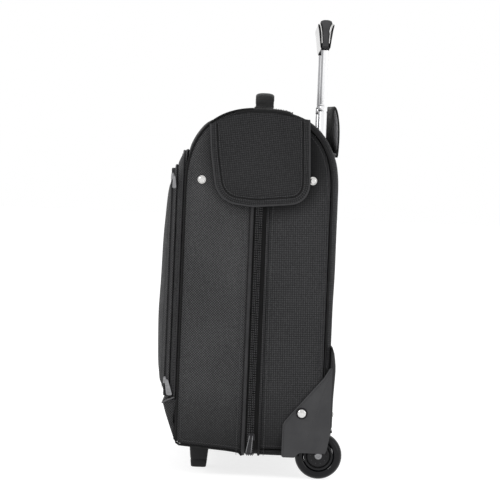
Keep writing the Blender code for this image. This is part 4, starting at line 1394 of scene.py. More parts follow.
def build_guard(side, sign):
    body = "rear_half"
    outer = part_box("corner_guard_r")[1].x
    plate = fillet([(0.0470, 0.0295, 0.003), (0.0470, 0.0758, 0.003), (0.0930, 0.1305, 0.080),
                    (0.1030, 0.1420, 0.020), (0.1122, 0.1590, 0.002), (0.1142, 0.1560, 0.001),
                    (0.1142, 0.0640, 0.004), (0.1105, 0.0420, 0.003), (0.1080, 0.0365, 0.001),
                    (0.0720, 0.0365, 0.006), (0.0650, 0.0295, 0.002)], 6)
    guard = slab(f"guard_plate_{side}", plate, outer - 0.0030, outer - 0.0004, sign, GUARD, body,
                 "guard_plastic", 0.0013)
    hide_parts(f"corner_guard_{side}")
    # a raised bead along the plate's slanting edge
    bead = even_path([(0.0482, 0.0330), (0.0482, 0.0745), (0.0500, 0.0790), (0.0753, 0.1092),
                      (0.0932, 0.1303), (0.1025, 0.1412), (0.1065, 0.1478), (0.1112, 0.1562)], 0.003)
    path = [Vector((sign * (outer - 0.0005), y, z)) for y, z in bead]
    add_piece(f"guard_bead_{side}", tube(path, 0.0011, count=10), GUARD, body, "guard_plastic")
    # the cover that wraps the bag's back corner, in the guard plastic's darker copy as painted shade
    back = BACK_Y
    rows = []
    for k in range(15):
        t = k / 14
        z = 0.0665 + (0.1865 - 0.0665) * t
        swell = 0.0056 + 0.0022 * smoothstep(0.3, 0.8, t)
        fade = 0.22 + 0.78 * math.sqrt(min(1, (1 - t) * 4.0))
        depth = swell * fade * min(1, t * 7 + 0.62)
        inner_x = 0.2325 + 0.004 * smoothstep(0.75, 1, t)
        ring = fillet([(inner_x, back + 0.0004, 0.0), (inner_x + 0.001, back + depth, 0.0022),
                       (outer - 0.0010, back + depth, 0.0045), (outer - 0.0008, 0.1128, 0.001),
                       (outer - 0.0034, 0.1128, 0.0), (outer - 0.0045, back + 0.0004, 0.0)], 5)
        rows.append([Vector((sign * a, b, z)) for a, b in ring])
    cover = add_piece(f"guard_corner_{side}", loft(rows), GUARD_SHADED, body, "guard_plastic")
    bevel(cover, 0.0009)
    # the wheel well and its inner cheek, also in the darker copy as painted shade
    well = well_points(0.0396) + well_points(0.0368)[::-1]
    slab(f"guard_well_{side}", well, 0.2322, outer - 0.0028, sign, GUARD_SHADED, body, "guard_plastic", 0.0007)
    boss = arc_points((WHEEL.y, WHEEL_R), 0.011, 0, -math.pi, 12)
    cheek = [*well_points(0.0390), (0.1135, 0.040), *boss]
    slab(f"guard_cheek_{side}", cheek, 0.2324, 0.2360, sign, GUARD_SHADED, body, "guard_plastic", 0.0007)
    for k, angle in enumerate((100, 135, 170)):
        a = math.radians(angle)
        rib = [(WHEEL.y + r * math.cos(a) + w * math.sin(a), WHEEL_R + r * math.sin(a) - w * math.cos(a))
               for r, w in ((0.0125, -0.0009), (0.0365, -0.0009), (0.0365, 0.0009), (0.0125, 0.0009))]
        slab(f"guard_rib_{side}_{k}", rib, 0.2355, 0.2385, sign, GUARD_SHADED, body, "guard_plastic", 0.0003)
    for k, (y, z) in enumerate(((back + 0.0070, 0.0905), (back + 0.0069, 0.1440))):
        screw = [(0.0, 0.0034), (0.0006, 0.0034), (0.0011, 0.0028), (0.0013, 0.0016), (0.0010, 0.0009),
                 (0.0004, 0.0008)]
        rows = []
        for along, radius in screw:
            rows.append([Vector((sign * 0.257 + radius * math.cos(2 * math.pi * i / 32), y - 0.0006 + along,
                                 z + radius * math.sin(2 * math.pi * i / 32))) for i in range(32)])
        add_piece(f"guard_screw_{side}_{k}", loft(rows), NICKEL, body, "nickel")


def build_wheel(side, sign):
    body = f"wheel_{side}"
    inner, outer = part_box("tyre_r")[0].x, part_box("tyre_r")[1].x
    middle, half = (inner + outer) / 2, (outer - inner) / 2
    origin = (0, WHEEL.y, WHEEL_R)
    side_curve = [(0.0046, 0.0207), (0.0028, 0.0214), (0.0013, 0.0226), (0.0004, 0.0241), (0.0, 0.0258),
                  (0.0004, 0.0275), (0.0014, 0.0292), (0.0029, 0.0308), (0.0048, 0.0320), (0.0068, 0.0328)]
    profile = [(-half + a, r) for a, r in side_curve]
    profile += [(-0.0010, WHEEL_R), (0.0010, WHEEL_R)]
    profile += [(half - a, r) for a, r in reversed(side_curve)]
    tyre = add_piece(f"tyre_ring_{side}", lathe([(middle + a, r) for a, r in profile], origin, "x", sign, 112,
                                                closed=True), TYRE, body, "wheel_rubber")
    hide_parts(f"tyre_{side}")
    hub = [(inner + 0.0005, 0.0044), (inner + 0.0002, 0.0060), (inner + 0.0002, 0.0150),
           (inner + 0.0035, 0.0158), (inner + 0.0035, 0.0172), (inner + 0.0010, 0.0178),
           (inner + 0.0010, 0.0204), (outer - 0.0010, 0.0204), (outer - 0.0010, 0.0180),
           (outer - 0.0014, 0.0175), (outer - 0.0060, 0.0172), (outer - 0.0060, 0.0161),
           (outer - 0.0012, 0.0156), (outer - 0.0004, 0.0150), (outer - 0.0002, 0.0136),
           (outer - 0.0010, 0.0118), (outer - 0.0016, 0.0092), (outer - 0.0008, 0.0080),
           (outer - 0.0003, 0.0072), (outer - 0.0003, 0.0044)]
    rim = add_piece(f"hub_disc_{side}", lathe(hub, origin, "x", sign, 96, closed=True), BLACK, body,
                    "gloss_black")
    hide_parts(f"wheel_hub_{side}")
    items = []
    for k in range(10):
        angle = 2 * math.pi * k / 10
        radial = Vector((0, math.cos(angle), math.sin(angle)))
        centre = Vector((sign * (outer - 0.0012), WHEEL.y, WHEEL_R)) + radial * 0.0122
        items.append((centre, radial, Vector((sign, 0, 0)), 0.0042, 0.0012, 0.0010))
    add_piece(f"hub_ribs_{side}", beads(items, 8), GUARD, body, "gloss_black")
    low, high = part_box("axle_r")
    axle = [(low.x, 0.0058), (inner - 0.0012, 0.0060), (inner - 0.0010, 0.0040), (outer + 0.0003, 0.0040),
            (outer + 0.0003, 0.0053), (outer + 0.0012, 0.0053), (high.x - 0.0006, 0.0048),
            (high.x - 0.0001, 0.0036), (high.x - 0.0003, 0.0022), (high.x - 0.0010, 0.0020)]
    pin = add_piece(f"axle_pin_{side}", lathe(axle, origin, "x", sign, 48), SATIN, "rear_half", "nickel")
    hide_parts(f"axle_{side}")


for side, sign in SIDES:
    build_stud("stud_front", "front_stud", side, sign, "front_half", HALF - 0.0004, True)
    build_stud("stud_rear", "rear_stud", side, sign, "rear_half", HALF - 0.0004, True)
    build_stud("rivet", "guard_rivet", side, sign, "rear_half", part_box("corner_guard_r")[1].x - 0.0008, False)
    build_foot(side, sign)
    build_guard(side, sign)
    build_wheel(side, sign)


# ---------------------------------------------------------------- handle, grip and top
def oblong(centre, half, radius, z, steps=5):
    """A rounded rectangle at a height z."""
    ring = rounded(half[0], half[1], -half[0], -half[1], radius, steps)
    return [Vector((centre[0] + a, centre[1] + b, z)) for a, b in ring]


def hollow(name, centre, half, wall, radius, levels, material, body, slot):
    """An open-ended tube. Each level is (z, growth of the outside)."""
    rows = [oblong(centre, (half[0] + grow, half[1] + grow), radius + max(grow, -radius * 0.4), z)
            for z, grow in levels]
    inner = (half[0] - wall, half[1] - wall)
    rows += [oblong(centre, inner, radius - wall * 0.7, z) for z in (levels[-1][0], levels[0][0])]
    return add_piece(name, grid(rows, close_rows=True, close_columns=True), material, body, slot)


def shade_edge(obj):
    """Painted shade on a tube's front face: those faces take the darker aluminium."""
    for face in obj.data.polygons:
        if face.normal.y < -0.30:
            face.material_index = 1


def build_tubes(side, sign):
    x = sign * abs(TUBE.x)
    for node, body, material, radius, slot in (
        ("tube_housing", "rear_half", BLACK, 0.0035, "black_plastic"),
        ("lower_tube", "trolley_lower", ALUMINIUM, 0.0042, "aluminium"),
        ("upper_tube", "trolley_upper", ALUMINIUM, 0.0040, "aluminium"),
    ):
        low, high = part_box(f"{node}_r")
        half = [(high.x - low.x) / 2, (high.y - low.y) / 2]
        lip = 0.0018 if node == "lower_tube" else 0.0
        half = [h - lip for h in half]
        top, bottom = high.z, low.z
        levels = [(bottom, -0.0003), (bottom + 0.0005, 0.0), (top - 0.0004, 0.0), (top, -0.0003)]
        if node == "upper_tube":
            levels = [(bottom, -0.0003), (bottom + 0.0005, 0.0), (top, 0.0)]
        finish = [ALUMINIUM, ALUMINIUM_SHADED] if material is ALUMINIUM else material
        piece = hollow(f"{node}_profile_{side}", (x, TUBE.y), half, 0.0010, radius, levels, finish, body,
                       slot)
        if material is ALUMINIUM:
            shade_edge(piece)
        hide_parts(f"{node}_{side}")
        if node == "lower_tube":
            collar = [(top - 0.0100, -0.0002), (top - 0.0098, 0.0004), (top - 0.0092, 0.0006),
                      (top - 0.0030, 0.0006), (top - 0.0026, 0.0003), (top - 0.0020, 0.0003),
                      (top - 0.0016, 0.0006), (top - 0.0007, 0.0005), (top, 0.0)]
            ring = hollow(f"tube_collar_{side}", (x, TUBE.y), [h + 0.0001 for h in half], 0.0016, radius,
                          collar, [ALUMINIUM, ALUMINIUM_SHADED], body, "aluminium")
            shade_edge(ring)
        if node != "tube_housing":
            # a pair of shallow ribs down the faces, as the tubes are drawn
            for end, edge in ((-1, low.y + lip), (1, high.y - lip)):
                for dx in (-0.0032, 0.0032):
                    heights = (bottom + 0.004, (top + bottom) / 2, top - 0.012)
                    path = [Vector((x + dx, edge, z)) for z in heights]
                    add_piece(f"{node}_rib_{side}_{'f' if end < 0 else 'b'}{'a' if dx < 0 else 'b'}",
                              tube(path, 0.00035, count=8), material, body, slot)


def build_grip():
    half_x, centre_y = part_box("grip")[1].x, TUBE.y
    # half of the core's section, (distance from the middle, z): its side, then its domed top
    core = [(0.0052, 0.6130), (0.0049, 0.6230), (0.0050, 0.6380), (0.0066, 0.6455), (0.0086, 0.6508)]
    dome = [(0.0074, 0.6524), (0.0048, 0.6535), (0.0020, 0.65395)]
    outline = [(centre_y + a, z) for a, z in [*core, *dome]]
    outline += [(centre_y - a, z) for a, z in reversed([*core, *dome])]
    rows = []
    steps, radius = 5, 0.0032
    outline = even_closed(outline, 0.0011)
    stations = []
    for k in range(steps + 1):
        a = math.pi / 2 * k / steps
        stations.append((-half_x + radius * (1 - math.sin(a)), radius * (1 - math.cos(a)) * 0.6))
    stations = stations[::-1]
    full = stations + [(-half_x + radius + (2 * half_x - 2 * radius) * i / 40, 0.0) for i in range(1, 40)]
    full += [(-x, i) for x, i in reversed(stations)]
    well_floor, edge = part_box("release_button")[0].z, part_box("release_button")[1].x + 0.0011
    full += [(-edge, 0.0), (-edge + 0.0001, 0.0), (edge - 0.0001, 0.0), (edge, 0.0)]
    for x, inset in sorted(full):
        row = [Vector((x, a, b)) for a, b in inset_outline(outline, inset)]
        for point in row:
            # the well that the button sits in
            if abs(x) < edge and abs(point.y - centre_y) < 0.0056 and point.z > 0.640:
                point.z = well_floor
        rows.append(row)
    piece = add_piece("grip_core", loft(rows), SOFT, "trolley_upper", "soft_grip")
    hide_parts("grip")
    for name, end in (("front", -1), ("back", 1)):
        strip = [(0.0054, 0.6130), (0.0062, 0.6116), (0.0074, 0.6140), (0.0088, 0.6260), (0.0104, 0.6380),
                 (0.0120, 0.6455), (0.0118, 0.6476), (0.0108, 0.6480), (0.0096, 0.6450), (0.0082, 0.6400),
                 (0.0066, 0.6310), (0.0055, 0.6220)]
        outline = even_closed([(centre_y + end * a, z) for a, z in strip], 0.0010)
        rows = []
        flat = [(-half_x + 0.002 + (2 * half_x - 0.004) * i / 30, 0.0) for i in range(31)]
        for x, inset in ((-half_x + 0.0004, 0.0012), (-half_x + 0.0008, 0.0005), (-half_x + 0.0018, 0.0),
                         *flat, (half_x - 0.0018, 0.0), (half_x - 0.0008, 0.0005), (half_x - 0.0004, 0.0012)):
            rows.append([Vector((x, a, b)) for a, b in inset_outline(outline, inset)])
        add_piece(f"grip_strip_{name}", loft(rows), GLOSS, "trolley_upper", "gloss_black")
        for side, sign in SIDES:
            curve = ((0.0052, 0.6200), (0.0056, 0.6280), (0.0066, 0.6370), (0.0080, 0.6440), (0.0094, 0.6484))
            trim = [Vector((sign * (half_x - 0.0001), centre_y + end * a, z)) for a, z in curve]
            add_piece(f"grip_trim_{name}_{side}", tube(trim, 0.00075, count=8), NICKEL, "trolley_upper",
                      "nickel")
        ridge = [Vector((-half_x + 0.003 + (2 * half_x - 0.006) * i / 40, centre_y + end * 0.0086, 0.6496))
                 for i in range(41)]
        add_piece(f"grip_line_{name}", tube(ridge, 0.00045, count=8), NICKEL, "trolley_upper", "nickel")
    for k in range(9):
        x = -0.060 + 0.015 * k
        if abs(x) < 0.026:
            continue
        groove = [Vector((x, centre_y - 0.0072 + 0.0144 * i / 10, 0.65405 - 0.0018 * abs(i / 5 - 1) ** 2.2))
                  for i in range(11)]
        add_piece(f"grip_ridge_{k}", tube(groove, 0.0007, count=8), SOFT, "trolley_upper", "soft_grip")
    low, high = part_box("release_button")
    rows = []
    for z, inset in ((low.z, 0.0), (high.z - 0.0030, 0.0), (high.z - 0.0016, 0.0004),
                     (high.z - 0.0005, 0.0016), (high.z - 0.0009, 0.0032)):
        rows.append(oblong((0, centre_y), (high.x - inset, (high.y - low.y) / 2 - inset * 0.8),
                           max(0.0030 - inset * 0.5, 0.001), z))
    button = add_piece("release_button_cap", loft(rows), GLOSS, "release_button", "gloss_black")
    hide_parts("release_button")
    for side, sign in SIDES:
        x = sign * abs(TUBE.x)
        levels = [(0.6100, -0.0010), (0.6104, 0.0002), (0.6112, 0.0006), (0.6135, 0.0006)]
        hollow(f"grip_socket_{side}", (x, centre_y), (0.0094, 0.0056), 0.0006, 0.0042, levels, BLACK,
               "trolley_upper", "black_plastic")


def build_linkage():
    low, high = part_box("release_linkage")
    rows = []
    for x, inset in ((-high.x, 0.0006), (-high.x + 0.0006, 0), (high.x - 0.0006, 0), (high.x, 0.0006)):
        ring = rounded(TUBE.y - 0.0025 + inset, high.z - 0.0060 + inset, TUBE.y + 0.0025 - inset,
                       high.z - inset, 0.0008, 3)
        rows.append([Vector((x, a, b)) for a, b in ring])
    bar = add_piece("release_bar", loft(rows), BLACK, "release_linkage", "black_plastic")
    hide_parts("release_linkage")
    for side, sign in SIDES:
        x = sign * abs(TUBE.x)
        levels = [(low.z, -0.0008), (low.z + 0.0008, 0.0), (low.z + 0.020, 0.0), (low.z + 0.0206, -0.0006),
                  (low.z + 0.0250, -0.0006), (low.z + 0.0256, 0.0), (high.z - 0.0045, 0.0)]
        rows = [oblong((x, TUBE.y), (0.0040 + g, 0.0018 + g), 0.0009, z, 3) for z, g in levels]
        add_piece(f"release_rod_{side}", loft(rows), BLACK, "release_linkage", "black_plastic")


def build_bezel():
    low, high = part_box("tube_bezel")
    half = high.x
    ys = [low.y + (high.y - low.y) * i / 26 for i in range(27)]
    rows = []
    for i, y in enumerate(ys):
        end = min(i, 26 - i) / 3
        crown = 0.0034 * min(1.0, 0.35 + 0.65 * smoothstep(0, 1, end))
        row = []
        for k in range(81):
            x = -half + 2 * half * k / 80
            side = smoothstep(half, half - 0.005, abs(x))
            lift = 0.0004 + crown * (0.25 + 0.75 * side)
            around = min(max(abs(abs(x) - abs(TUBE.x)) - 0.0108, abs(y - TUBE.y) - 0.0071), 0.004)
            lift += 0.0012 * smoothstep(0.0035, 0.0005, around)
            row.append(Vector((x, y, arch_height(y) + lift)))
        rows.append(row)
    bm = grid(rows, outward=lambda c: Vector((0, 0.4, 1)))

    def open_at(p):
        """True in the holes for the tubes and the strap loop."""
        in_tube = abs(abs(p.x) - abs(TUBE.x)) < 0.0108 and abs(p.y - TUBE.y) < 0.0070
        return in_tube or (abs(p.x) < 0.0255 and p.y > 0.0950)

    doomed = [f for f in bm.faces if open_at(f.calc_center_median())]
    bmesh.ops.delete(bm, geom=doomed, context="FACES")
    bezel = add_piece("bezel_plate", bm, BLACK, "rear_half", "black_plastic")
    solidify(bezel, 0.0026)
    bevel(bezel, 0.0005, 2)
    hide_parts("tube_bezel")
    for side, sign in SIDES:
        x = sign * abs(TUBE.x)
        outline = rounded(x - 0.0118, TUBE.y - 0.0080, x + 0.0118, TUBE.y + 0.0080, 0.004, 6)
        path = [Vector((a, b, arch_height(b) + 0.0046)) for a, b in outline]
        add_piece(f"bezel_rim_{side}", tube(path, 0.0013, True, 10), BLACK, "rear_half", "black_plastic")
        for dx in (-0.0180, 0.0180):
            spot = Vector((x + dx, TUBE.y, arch_height(TUBE.y) + 0.0036))
            tilt = Vector((0, 0.62, 1)).normalized()
            head = [(-0.001, 0.0026), (0.0004, 0.0026), (0.0009, 0.0020), (0.0011, 0.0010), (0.0007, 0.0006)]
            screw = add_piece(f"bezel_screw_{side}_{'a' if dx < 0 else 'b'}",
                              lathe(head, (0, 0, 0), "z", 1, 24), NICKEL, None, "nickel")
            screw.matrix_world = Matrix.Translation(spot) @ tilt.to_track_quat("Z", "Y").to_matrix().to_4x4()
            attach(screw, "rear_half")


def patch_pad(x, edge):
    """The padding under the top patch: full between the handle's ends, thin towards the flaps."""
    full = 0.0034 - 0.0026 * smoothstep(0.100, 0.255, abs(x))
    return 0.0014 + full * smoothstep(0.0, 0.011, edge)


def build_patch():
    low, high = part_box("top_patch")
    half = high.x
    ys = [low.y + (high.y - low.y) * i / 30 for i in range(31)]
    rows = []
    for i, y in enumerate(ys):
        edge_y = min(y - low.y, high.y - y)
        row = []
        for k in range(121):
            x = -half + 2 * half * k / 120
            edge = min(edge_y, half - abs(x))
            pad = patch_pad(x, edge)
            quilt = 0.0004 * wave((x, y, 0.3), 0.04, 41) * smoothstep(0, 0.012, edge)
            down = 0.0030 * smoothstep(half - 0.010, half, abs(x)) ** 1.4
            row.append(Vector((x, y, arch_height(y) + pad + quilt - down - 0.0001)))
        rows.append(row)
    patch = add_piece("patch_cloth", grid(rows, outward=lambda c: Vector((0, 0, 1))), [FABRIC_FLAP, LINING],
                      "rear_half", "fabric")
    solidify(patch, CLOTH, inner=1)
    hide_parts("top_patch")
    ring = fillet([(half - 0.0006, low.y + 0.0006, 0.004), (half - 0.0006, high.y - 0.0006, 0.004),
                   (-half + 0.0006, high.y - 0.0006, 0.004), (-half + 0.0006, low.y + 0.0006, 0.004)], 5)
    ring = even_closed(ring, 0.006)

    def top(x, y, lift):
        edge = min(min(y - low.y, high.y - y), half - abs(x))
        down = 0.0030 * smoothstep(half - 0.010, half, abs(x)) ** 1.4
        return Vector((x, y, arch_height(y) + patch_pad(x, max(edge, 0)) - down + lift))

    piping = tube([top(x, y, -0.0003) for x, y in ring], 0.0013, True, 10)
    add_piece("patch_piping", piping, PIPING, "rear_half", "binding")
    line = inset_outline(ring, 0.0085)
    sew("patch_stitches", [top(x, y, 0.0004) for x, y in line], (0, 0, 1), "rear_half", closed=True)


def build_carry_handle():
    low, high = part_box("carry_handle")
    for side, sign in SIDES:
        low_a, high_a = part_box(f"handle_anchor_{side}")
        ring = rounded(low_a.x, low_a.y, high_a.x, high_a.y, 0.0035, 5)
        rows = []
        for lift, inset in ((low_a.z, 0.0), (low_a.z + 0.0012, 0.0), (high_a.z - 0.0003, 0.0004),
                            (high_a.z, 0.0012), (high_a.z - 0.0002, 0.0030)):
            rows.append([Vector((x, y, lift)) for x, y in inset_outline(ring, inset)])
        anchor = add_piece(f"anchor_pad_{side}", loft(rows), LEATHER, "rear_half", "binding")
        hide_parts(f"handle_anchor_{side}")
        stitches = [Vector((x, y, high_a.z)) for x, y in inset_outline(even_closed(ring, 0.002), 0.0020)]
        sew(f"anchor_stitches_{side}", stitches, (0, 0, 1), "rear_half", (0.0030, 0.0021, 0.0006),
            closed=True)
        mid = (low_a + high_a) / 2
        for k, dx in enumerate((-0.0092, 0.0092)):
            rivet = lathe([(0, 0.0026), (0.0003, 0.0026), (0.0007, 0.0020), (0.0009, 0.0008)],
                          (mid.x + dx, mid.y, high_a.z), "z", 1, 24)
            add_piece(f"anchor_rivet_{side}_{k}", rivet, PULL, "rear_half", "nickel")
    middle_y, top_z, foot_z = SPLIT_Y + 0.0012, high.z, low.z
    x0 = 0.5 * (high.x + 0.078) - 0.0015
    thick = 0.0088
    crown = top_z - thick / 2 - 0.0008
    leg = [(x0 + 0.001, foot_z + 0.0008), (x0 + 0.0012, foot_z + 0.004), (x0 + 0.0002, crown - 0.0065),
           (x0 - 0.0030, crown - 0.0022), (x0 - 0.0085, crown + 0.0002)]
    half_path = even_path(leg, 0.0014)
    bar = [(x0 - 0.0085 - (2 * x0 - 0.017) * i / 70, crown + 0.0002 + 0.0007 * math.sin(math.pi * i / 70))
           for i in range(1, 70)]
    path = [*half_path, *bar, *[(-x, z) for x, z in reversed(half_path)]]
    points = [Vector((x, middle_y, z)) for x, z in path]
    tangents = frames_along(points)

    def outwards(point, tangent):
        out = tangent.cross(Vector((0, 1, 0)))
        return -out if out.dot(point - Vector((0, middle_y, foot_z - 0.03))) < 0 else out

    rows = []
    for point, tangent in zip(points, tangents):
        rise = smoothstep(foot_z, foot_z + 0.010, point.z)
        wide = 0.0048 + 0.0088 * smoothstep(foot_z + 0.0004, foot_z + 0.0068, point.z)
        deep = 0.0032 + 0.0018 * rise
        out = outwards(point, tangent)
        section = []
        for k in range(28):
            turn = 2 * math.pi * k / 28
            a = wide * math.copysign(abs(math.cos(turn)) ** 0.75, math.cos(turn))
            power = 0.85 if math.sin(turn) > 0 else 0.5
            b = deep * math.copysign(abs(math.sin(turn)) ** power, math.sin(turn))
            section.append((a, b * (1.0 if b > 0 else 0.8)))
        rows.append([point + Vector((0, a, 0)) + out * b for a, b in section])
    piece = add_piece("carry_grip", loft(rows), LEATHER, "carry_handle", "binding")
    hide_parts("carry_handle")
    for side, sign in SIDES:
        foot_x = sign * (x0 + 0.0011)
        rows = []
        for z, wide, deep in ((0.52385, 0.0136, 0.0046), (0.5250, 0.0134, 0.0043), (0.5268, 0.0131, 0.0041),
                              (0.5290, 0.0131, 0.0041), (0.5312, 0.0132, 0.0042), (0.5330, 0.0128, 0.0040),
                              (0.5336, 0.0118, 0.0034)):
            rows.append([Vector((foot_x + b, middle_y + a, z)) for a, b in oval(wide, deep, 32, 0.6)])
        root = add_piece(f"carry_root_{side}", loft(rows), LEATHER, None, "binding")
        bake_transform(root)
    for name, a in (("front", -0.0098), ("back", 0.0098)):
        for level, b in (("top", 1), ("under", -1)):
            line = []
            for point, tangent in zip(points[4:-4], tangents[4:-4]):
                rise = smoothstep(foot_z, foot_z + 0.010, point.z)
                out = outwards(point, tangent) * (b * (0.0021 + 0.0012 * rise))
                line.append(point + Vector((0, a * (0.78 + 0.22 * rise), 0)) + out)
            sew(f"carry_stitches_{name}_{level}", line, lambda c: Vector((c.x * 0.3, 0, 1)), "carry_handle",
                (0.0038, 0.0027, 0.0007))


def build_strap_loop():
    path = [(0.1118, 0.4530), (0.1082, 0.4640), (0.1046, 0.4760), (0.1022, 0.4890), (0.1012, 0.5050),
            (0.1012, 0.5215), (0.1026, 0.5290), (0.1046, 0.5316), (0.1074, 0.5292), (0.1104, 0.5210),
            (0.1130, 0.5050), (0.1138, 0.4890), (0.1136, 0.4740), (0.1130, 0.4610)]
    smooth = path
    for _ in range(2):  # cut the corners twice
        softer = []
        for i in range(len(smooth)):
            a, b = Vector(smooth[i]), Vector(smooth[(i + 1) % len(smooth)])
            softer += [tuple(a.lerp(b, 0.25)), tuple(a.lerp(b, 0.75))]
        smooth = softer
    outer = even_closed(smooth, 0.0025)
    wall = 0.0028
    inner = inset_outline(outer, wall)
    half, twist = 0.0185, 0.26
    rows = []
    for x, ring, grow in ((-half + 0.0006, outer, 0), (-half, outer, 0.0006), (-half, inner, -0.0006),
                          (-half + 0.0006, inner, 0), (half - 0.0006, inner, 0), (half, inner, -0.0006),
                          (half, outer, 0.0006), (half - 0.0006, outer, 0)):
        rows.append([Vector((x, y + twist * x, z)) for y, z in inset_outline(ring, grow)])
    loop = add_piece("hang_loop", grid(rows, close_rows=True, close_columns=True), [LEATHER, STRAP_LINING],
                     "strap_loop", "binding")
    for face in loop.data.polygons:
        toward = Vector((0, 0.1068, 0.495)) - face.center
        if abs(face.normal.x) < 0.5 and face.normal.dot(Vector((0, toward.y, toward.z * 0.2))) > 0:
            face.material_index = 1
    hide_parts("strap_loop")

    def away(c):
        return Vector((0, c.y - 0.107, (c.z - 0.495) * 0.2))

    for name, x in (("l", -half + 0.0028), ("r", half - 0.0028)):
        for level, inset in (("outer", -0.0001), ("inner", wall + 0.0001)):
            line = [Vector((x, y + twist * x, z)) for y, z in inset_outline(outer, inset)]
            sew(f"hang_loop_stitches_{level}_{name}", line, away, "strap_loop", (0.0034, 0.0024, 0.0006),
                closed=True)


for side, sign in SIDES:
    build_tubes(side, sign)
build_grip()
build_linkage()
build_bezel()
build_patch()
build_carry_handle()
build_strap_loop()


# ---------------------------------------------------------------- bridging cloth and the inside
def build_bridges():
    """The bridging cloth: a strip along the fold, and a neck from the patch to each flap."""
    rows = []
    for i in range(23):
        y = FOLD.y + 0.0085 - 0.0205 * i / 22
        lift = 0.0007 + 0.0010 * math.sin(math.pi * i / 22)
        rows.append([Vector((-0.268 + 0.536 * k / 90, y, arch_height(y) + lift)) for k in range(91)])
    strip = add_piece("fold_strip", grid(rows, outward=lambda c: Vector((0, 0, 1))), [FABRIC, LINING], None,
                      "fabric")
    solidify(strip, 0.0012, inner=1)
    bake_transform(strip)
    y = FOLD.y - 0.0105
    line = [Vector((-0.264 + 0.528 * k / 90, y, arch_height(y) + 0.0018)) for k in range(91)]
    sew("fold_stitches", line, (0, 0, 1), "front_half")

    low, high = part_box("top_patch")
    ys = [low.y + 0.003 + (high.y - low.y - 0.006) * k / 40 for k in range(41)]
    for side, sign in SIDES:
        rows = []
        for x, drop in ((0.2740, 0.0020), (0.2775, 0.0017), (0.2800, 0.0008), (0.2818, -0.0010),
                        (0.2828, -0.0035), (0.2834, -0.0065), (0.2837, -0.0100)):
            rows.append([Vector((sign * x, y, arch_height(y) + drop)) for y in ys])
        # painted shadow: the neck is near-black tape cloth, for the dark shadow line under the patch's end edge
        neck = add_piece(f"flap_neck_painted_shadow_{side}", grid(rows, outward=lambda c: Vector((sign * 0.5, 0, 1))),
                         [TAPE, LINING], None, "fabric")
        solidify(neck, 0.0012, inner=1)
        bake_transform(neck)


def build_plackets():
    """A cloth strip behind the gap above each end of the main zip."""
    for side, sign in SIDES:
        outline = rounded(-0.0115, 0.4060, 0.0125, 0.5070, 0.002, 4)
        slab(f"placket_{side}", outline, HALF - 0.0044, HALF - 0.0030, sign, FABRIC_FLAP, "rear_half",
             "fabric", 0.0004, 2)
        line = [Vector((sign * (HALF - 0.0029), 0.0095, z)) for z in (0.4090, 0.4550, 0.5030)]
        sew(f"placket_stitches_{side}", line, (sign, 0, 0), "rear_half")


def build_inside():
    low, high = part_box("back_board")
    outline = rounded(low.x, low.z, high.x, high.z, 0.012, 8)
    board = add_piece("board_sheet", prism(outline, low.y, high.y, "y"), BOARD, "rear_half", "board")
    bevel(board, 0.0008)
    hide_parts("back_board")
    edge = [Vector((x, low.y - 0.0002, z)) for x, z in inset_outline(even_closed(outline, 0.01), 0.006)]
    sew("board_stitches", edge, (0, -1, 0), "rear_half", (0.006, 0.004, 0.0008), closed=True)

    low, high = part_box("tube_bracket")
    outline = rounded(low.x, low.y, high.x, high.y, 0.005, 6)
    bracket = add_piece("bracket_block", prism(outline, low.z, high.z, "z"), BLACK, "rear_half",
                        "black_plastic")
    bevel(bracket, 0.0012)
    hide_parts("tube_bracket")
    for k in range(9):
        x = -0.080 + 0.020 * k
        rib = rounded(x - 0.0012, low.z + 0.001, x + 0.0012, high.z - 0.002, 0.0004, 3)
        add_piece(f"bracket_rib_{k}", prism(rib, low.y - 0.0015, low.y + 0.0004, "y"), BLACK, "rear_half",
                  "black_plastic")

    low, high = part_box("hanger_bracket")
    foot = low.z
    plate = fillet([(0.0360, foot, 0.0), (0.0600, foot, 0.001), (0.0600, foot + 0.0030, 0.001),
                    (0.0430, foot + 0.0030, 0.004), (0.0430, high.z, 0.002), (0.0360, high.z, 0.002)], 5)
    stand = add_piece("hanger_stand", prism(plate, low.x, high.x), BLACK, "rear_half", "black_plastic")
    bevel(stand, 0.0010)
    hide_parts("hanger_bracket")
    for k, x in enumerate((-0.024, 0.024)):
        head = lathe([(0, 0.0034), (0.0008, 0.0032), (0.0014, 0.0022), (0.0012, 0.0010), (0.0008, 0.0009)],
                     (x, 0.0530, foot + 0.0030), "z", 1, 28)
        add_piece(f"hanger_screw_{k}", head, NICKEL, "rear_half", "nickel")
    low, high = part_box("hanger_clamp")
    outline = fillet([(0.0352, 0.0785, 0), (0.0425, 0.0785, 0.0010), (0.0425, 0.0840, 0.0025),
                      (0.0320, 0.0840, 0.0035), (0.0320, 0.0520, 0.0012), (0.0352, 0.0520, 0.0012)], 5)
    clamp = add_piece("hanger_latch", prism(outline, low.x, high.x), NICKEL, "hanger_clamp", "nickel")
    bevel(clamp, 0.0006)
    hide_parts("hanger_clamp")
    for k, z in enumerate((0.0600, 0.0640, 0.0680)):
        line = [Vector((-0.022 + 0.044 * i / 12, 0.0319, z)) for i in range(13)]
        add_piece(f"hanger_latch_grip_{k}", tube(line, 0.0006, count=8), NICKEL, "hanger_clamp", "nickel")


build_bridges()
build_plackets()
build_inside()


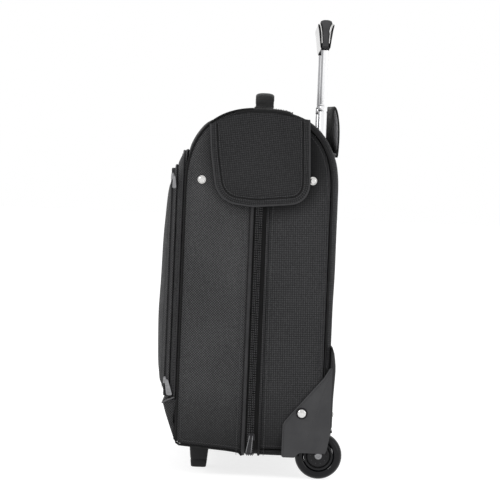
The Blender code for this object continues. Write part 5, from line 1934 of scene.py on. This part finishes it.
# ---------------------------------------------------------------- stage, light and camera
def build_stage():
    scene = bpy.context.scene
    world = bpy.data.worlds.new("studio")
    world.use_nodes = True
    world.node_tree.nodes["Background"].inputs["Color"].default_value = (1, 1, 1, 1)
    world.node_tree.nodes["Background"].inputs["Strength"].default_value = 1.0
    scene.world = world
    scene.view_settings.view_transform = "Standard"

    floor = bpy.data.materials.new("studio_floor")
    floor.use_nodes = True
    shader = floor.node_tree.nodes["Principled BSDF"]
    shader.inputs["Base Color"].default_value = (0.26, 0.26, 0.26, 1)
    shader.inputs["Roughness"].default_value = 0.8
    shader.inputs["Emission Color"].default_value = (1, 1, 1, 1)
    shader.inputs["Emission Strength"].default_value = 0.80
    mesh = bpy.data.meshes.new("studio_floor")
    mesh.from_pydata([(-40, -40, 0), (40, -40, 0), (40, 40, 0), (-40, 40, 0)], [], [(0, 1, 2, 3)])
    mesh.materials.append(floor)
    ground = bpy.data.objects.new("studio_floor", mesh)
    scene.collection.objects.link(ground)

    target = Vector((0, 0, 0.28))
    for name, place, size, power in (
        ("key", (1.5, -2.3, 2.2), 0.9, 30),
        ("fill", (1.7, 2.6, 1.2), 1.6, 9),
        ("rim", (-1.6, 1.2, 2.6), 1.4, 14),
    ):
        lamp = bpy.data.lights.new(name, "AREA")
        lamp.energy, lamp.size = power, size
        lamp.color = (1, 1, 1)
        light = bpy.data.objects.new(name, lamp)
        light.location = place
        light.rotation_euler = (target - Vector(place)).to_track_quat("-Z", "Y").to_euler()
        scene.collection.objects.link(light)

    lens = bpy.data.cameras.new("camera")
    lens.lens, lens.sensor_width = 216, 36
    camera = bpy.data.objects.new("camera", lens)
    eye, aim = Vector((4.48, -0.0116, 0.402)), Vector((0.28, -0.0082, 0.318))
    look = (aim - eye).to_track_quat("-Z", "Y").to_matrix().to_4x4()
    camera.matrix_world = Matrix.Translation(eye) @ look @ Matrix.Rotation(math.radians(2.3), 4, "Z")
    scene.collection.objects.link(camera)
    scene.camera = camera


build_stage()
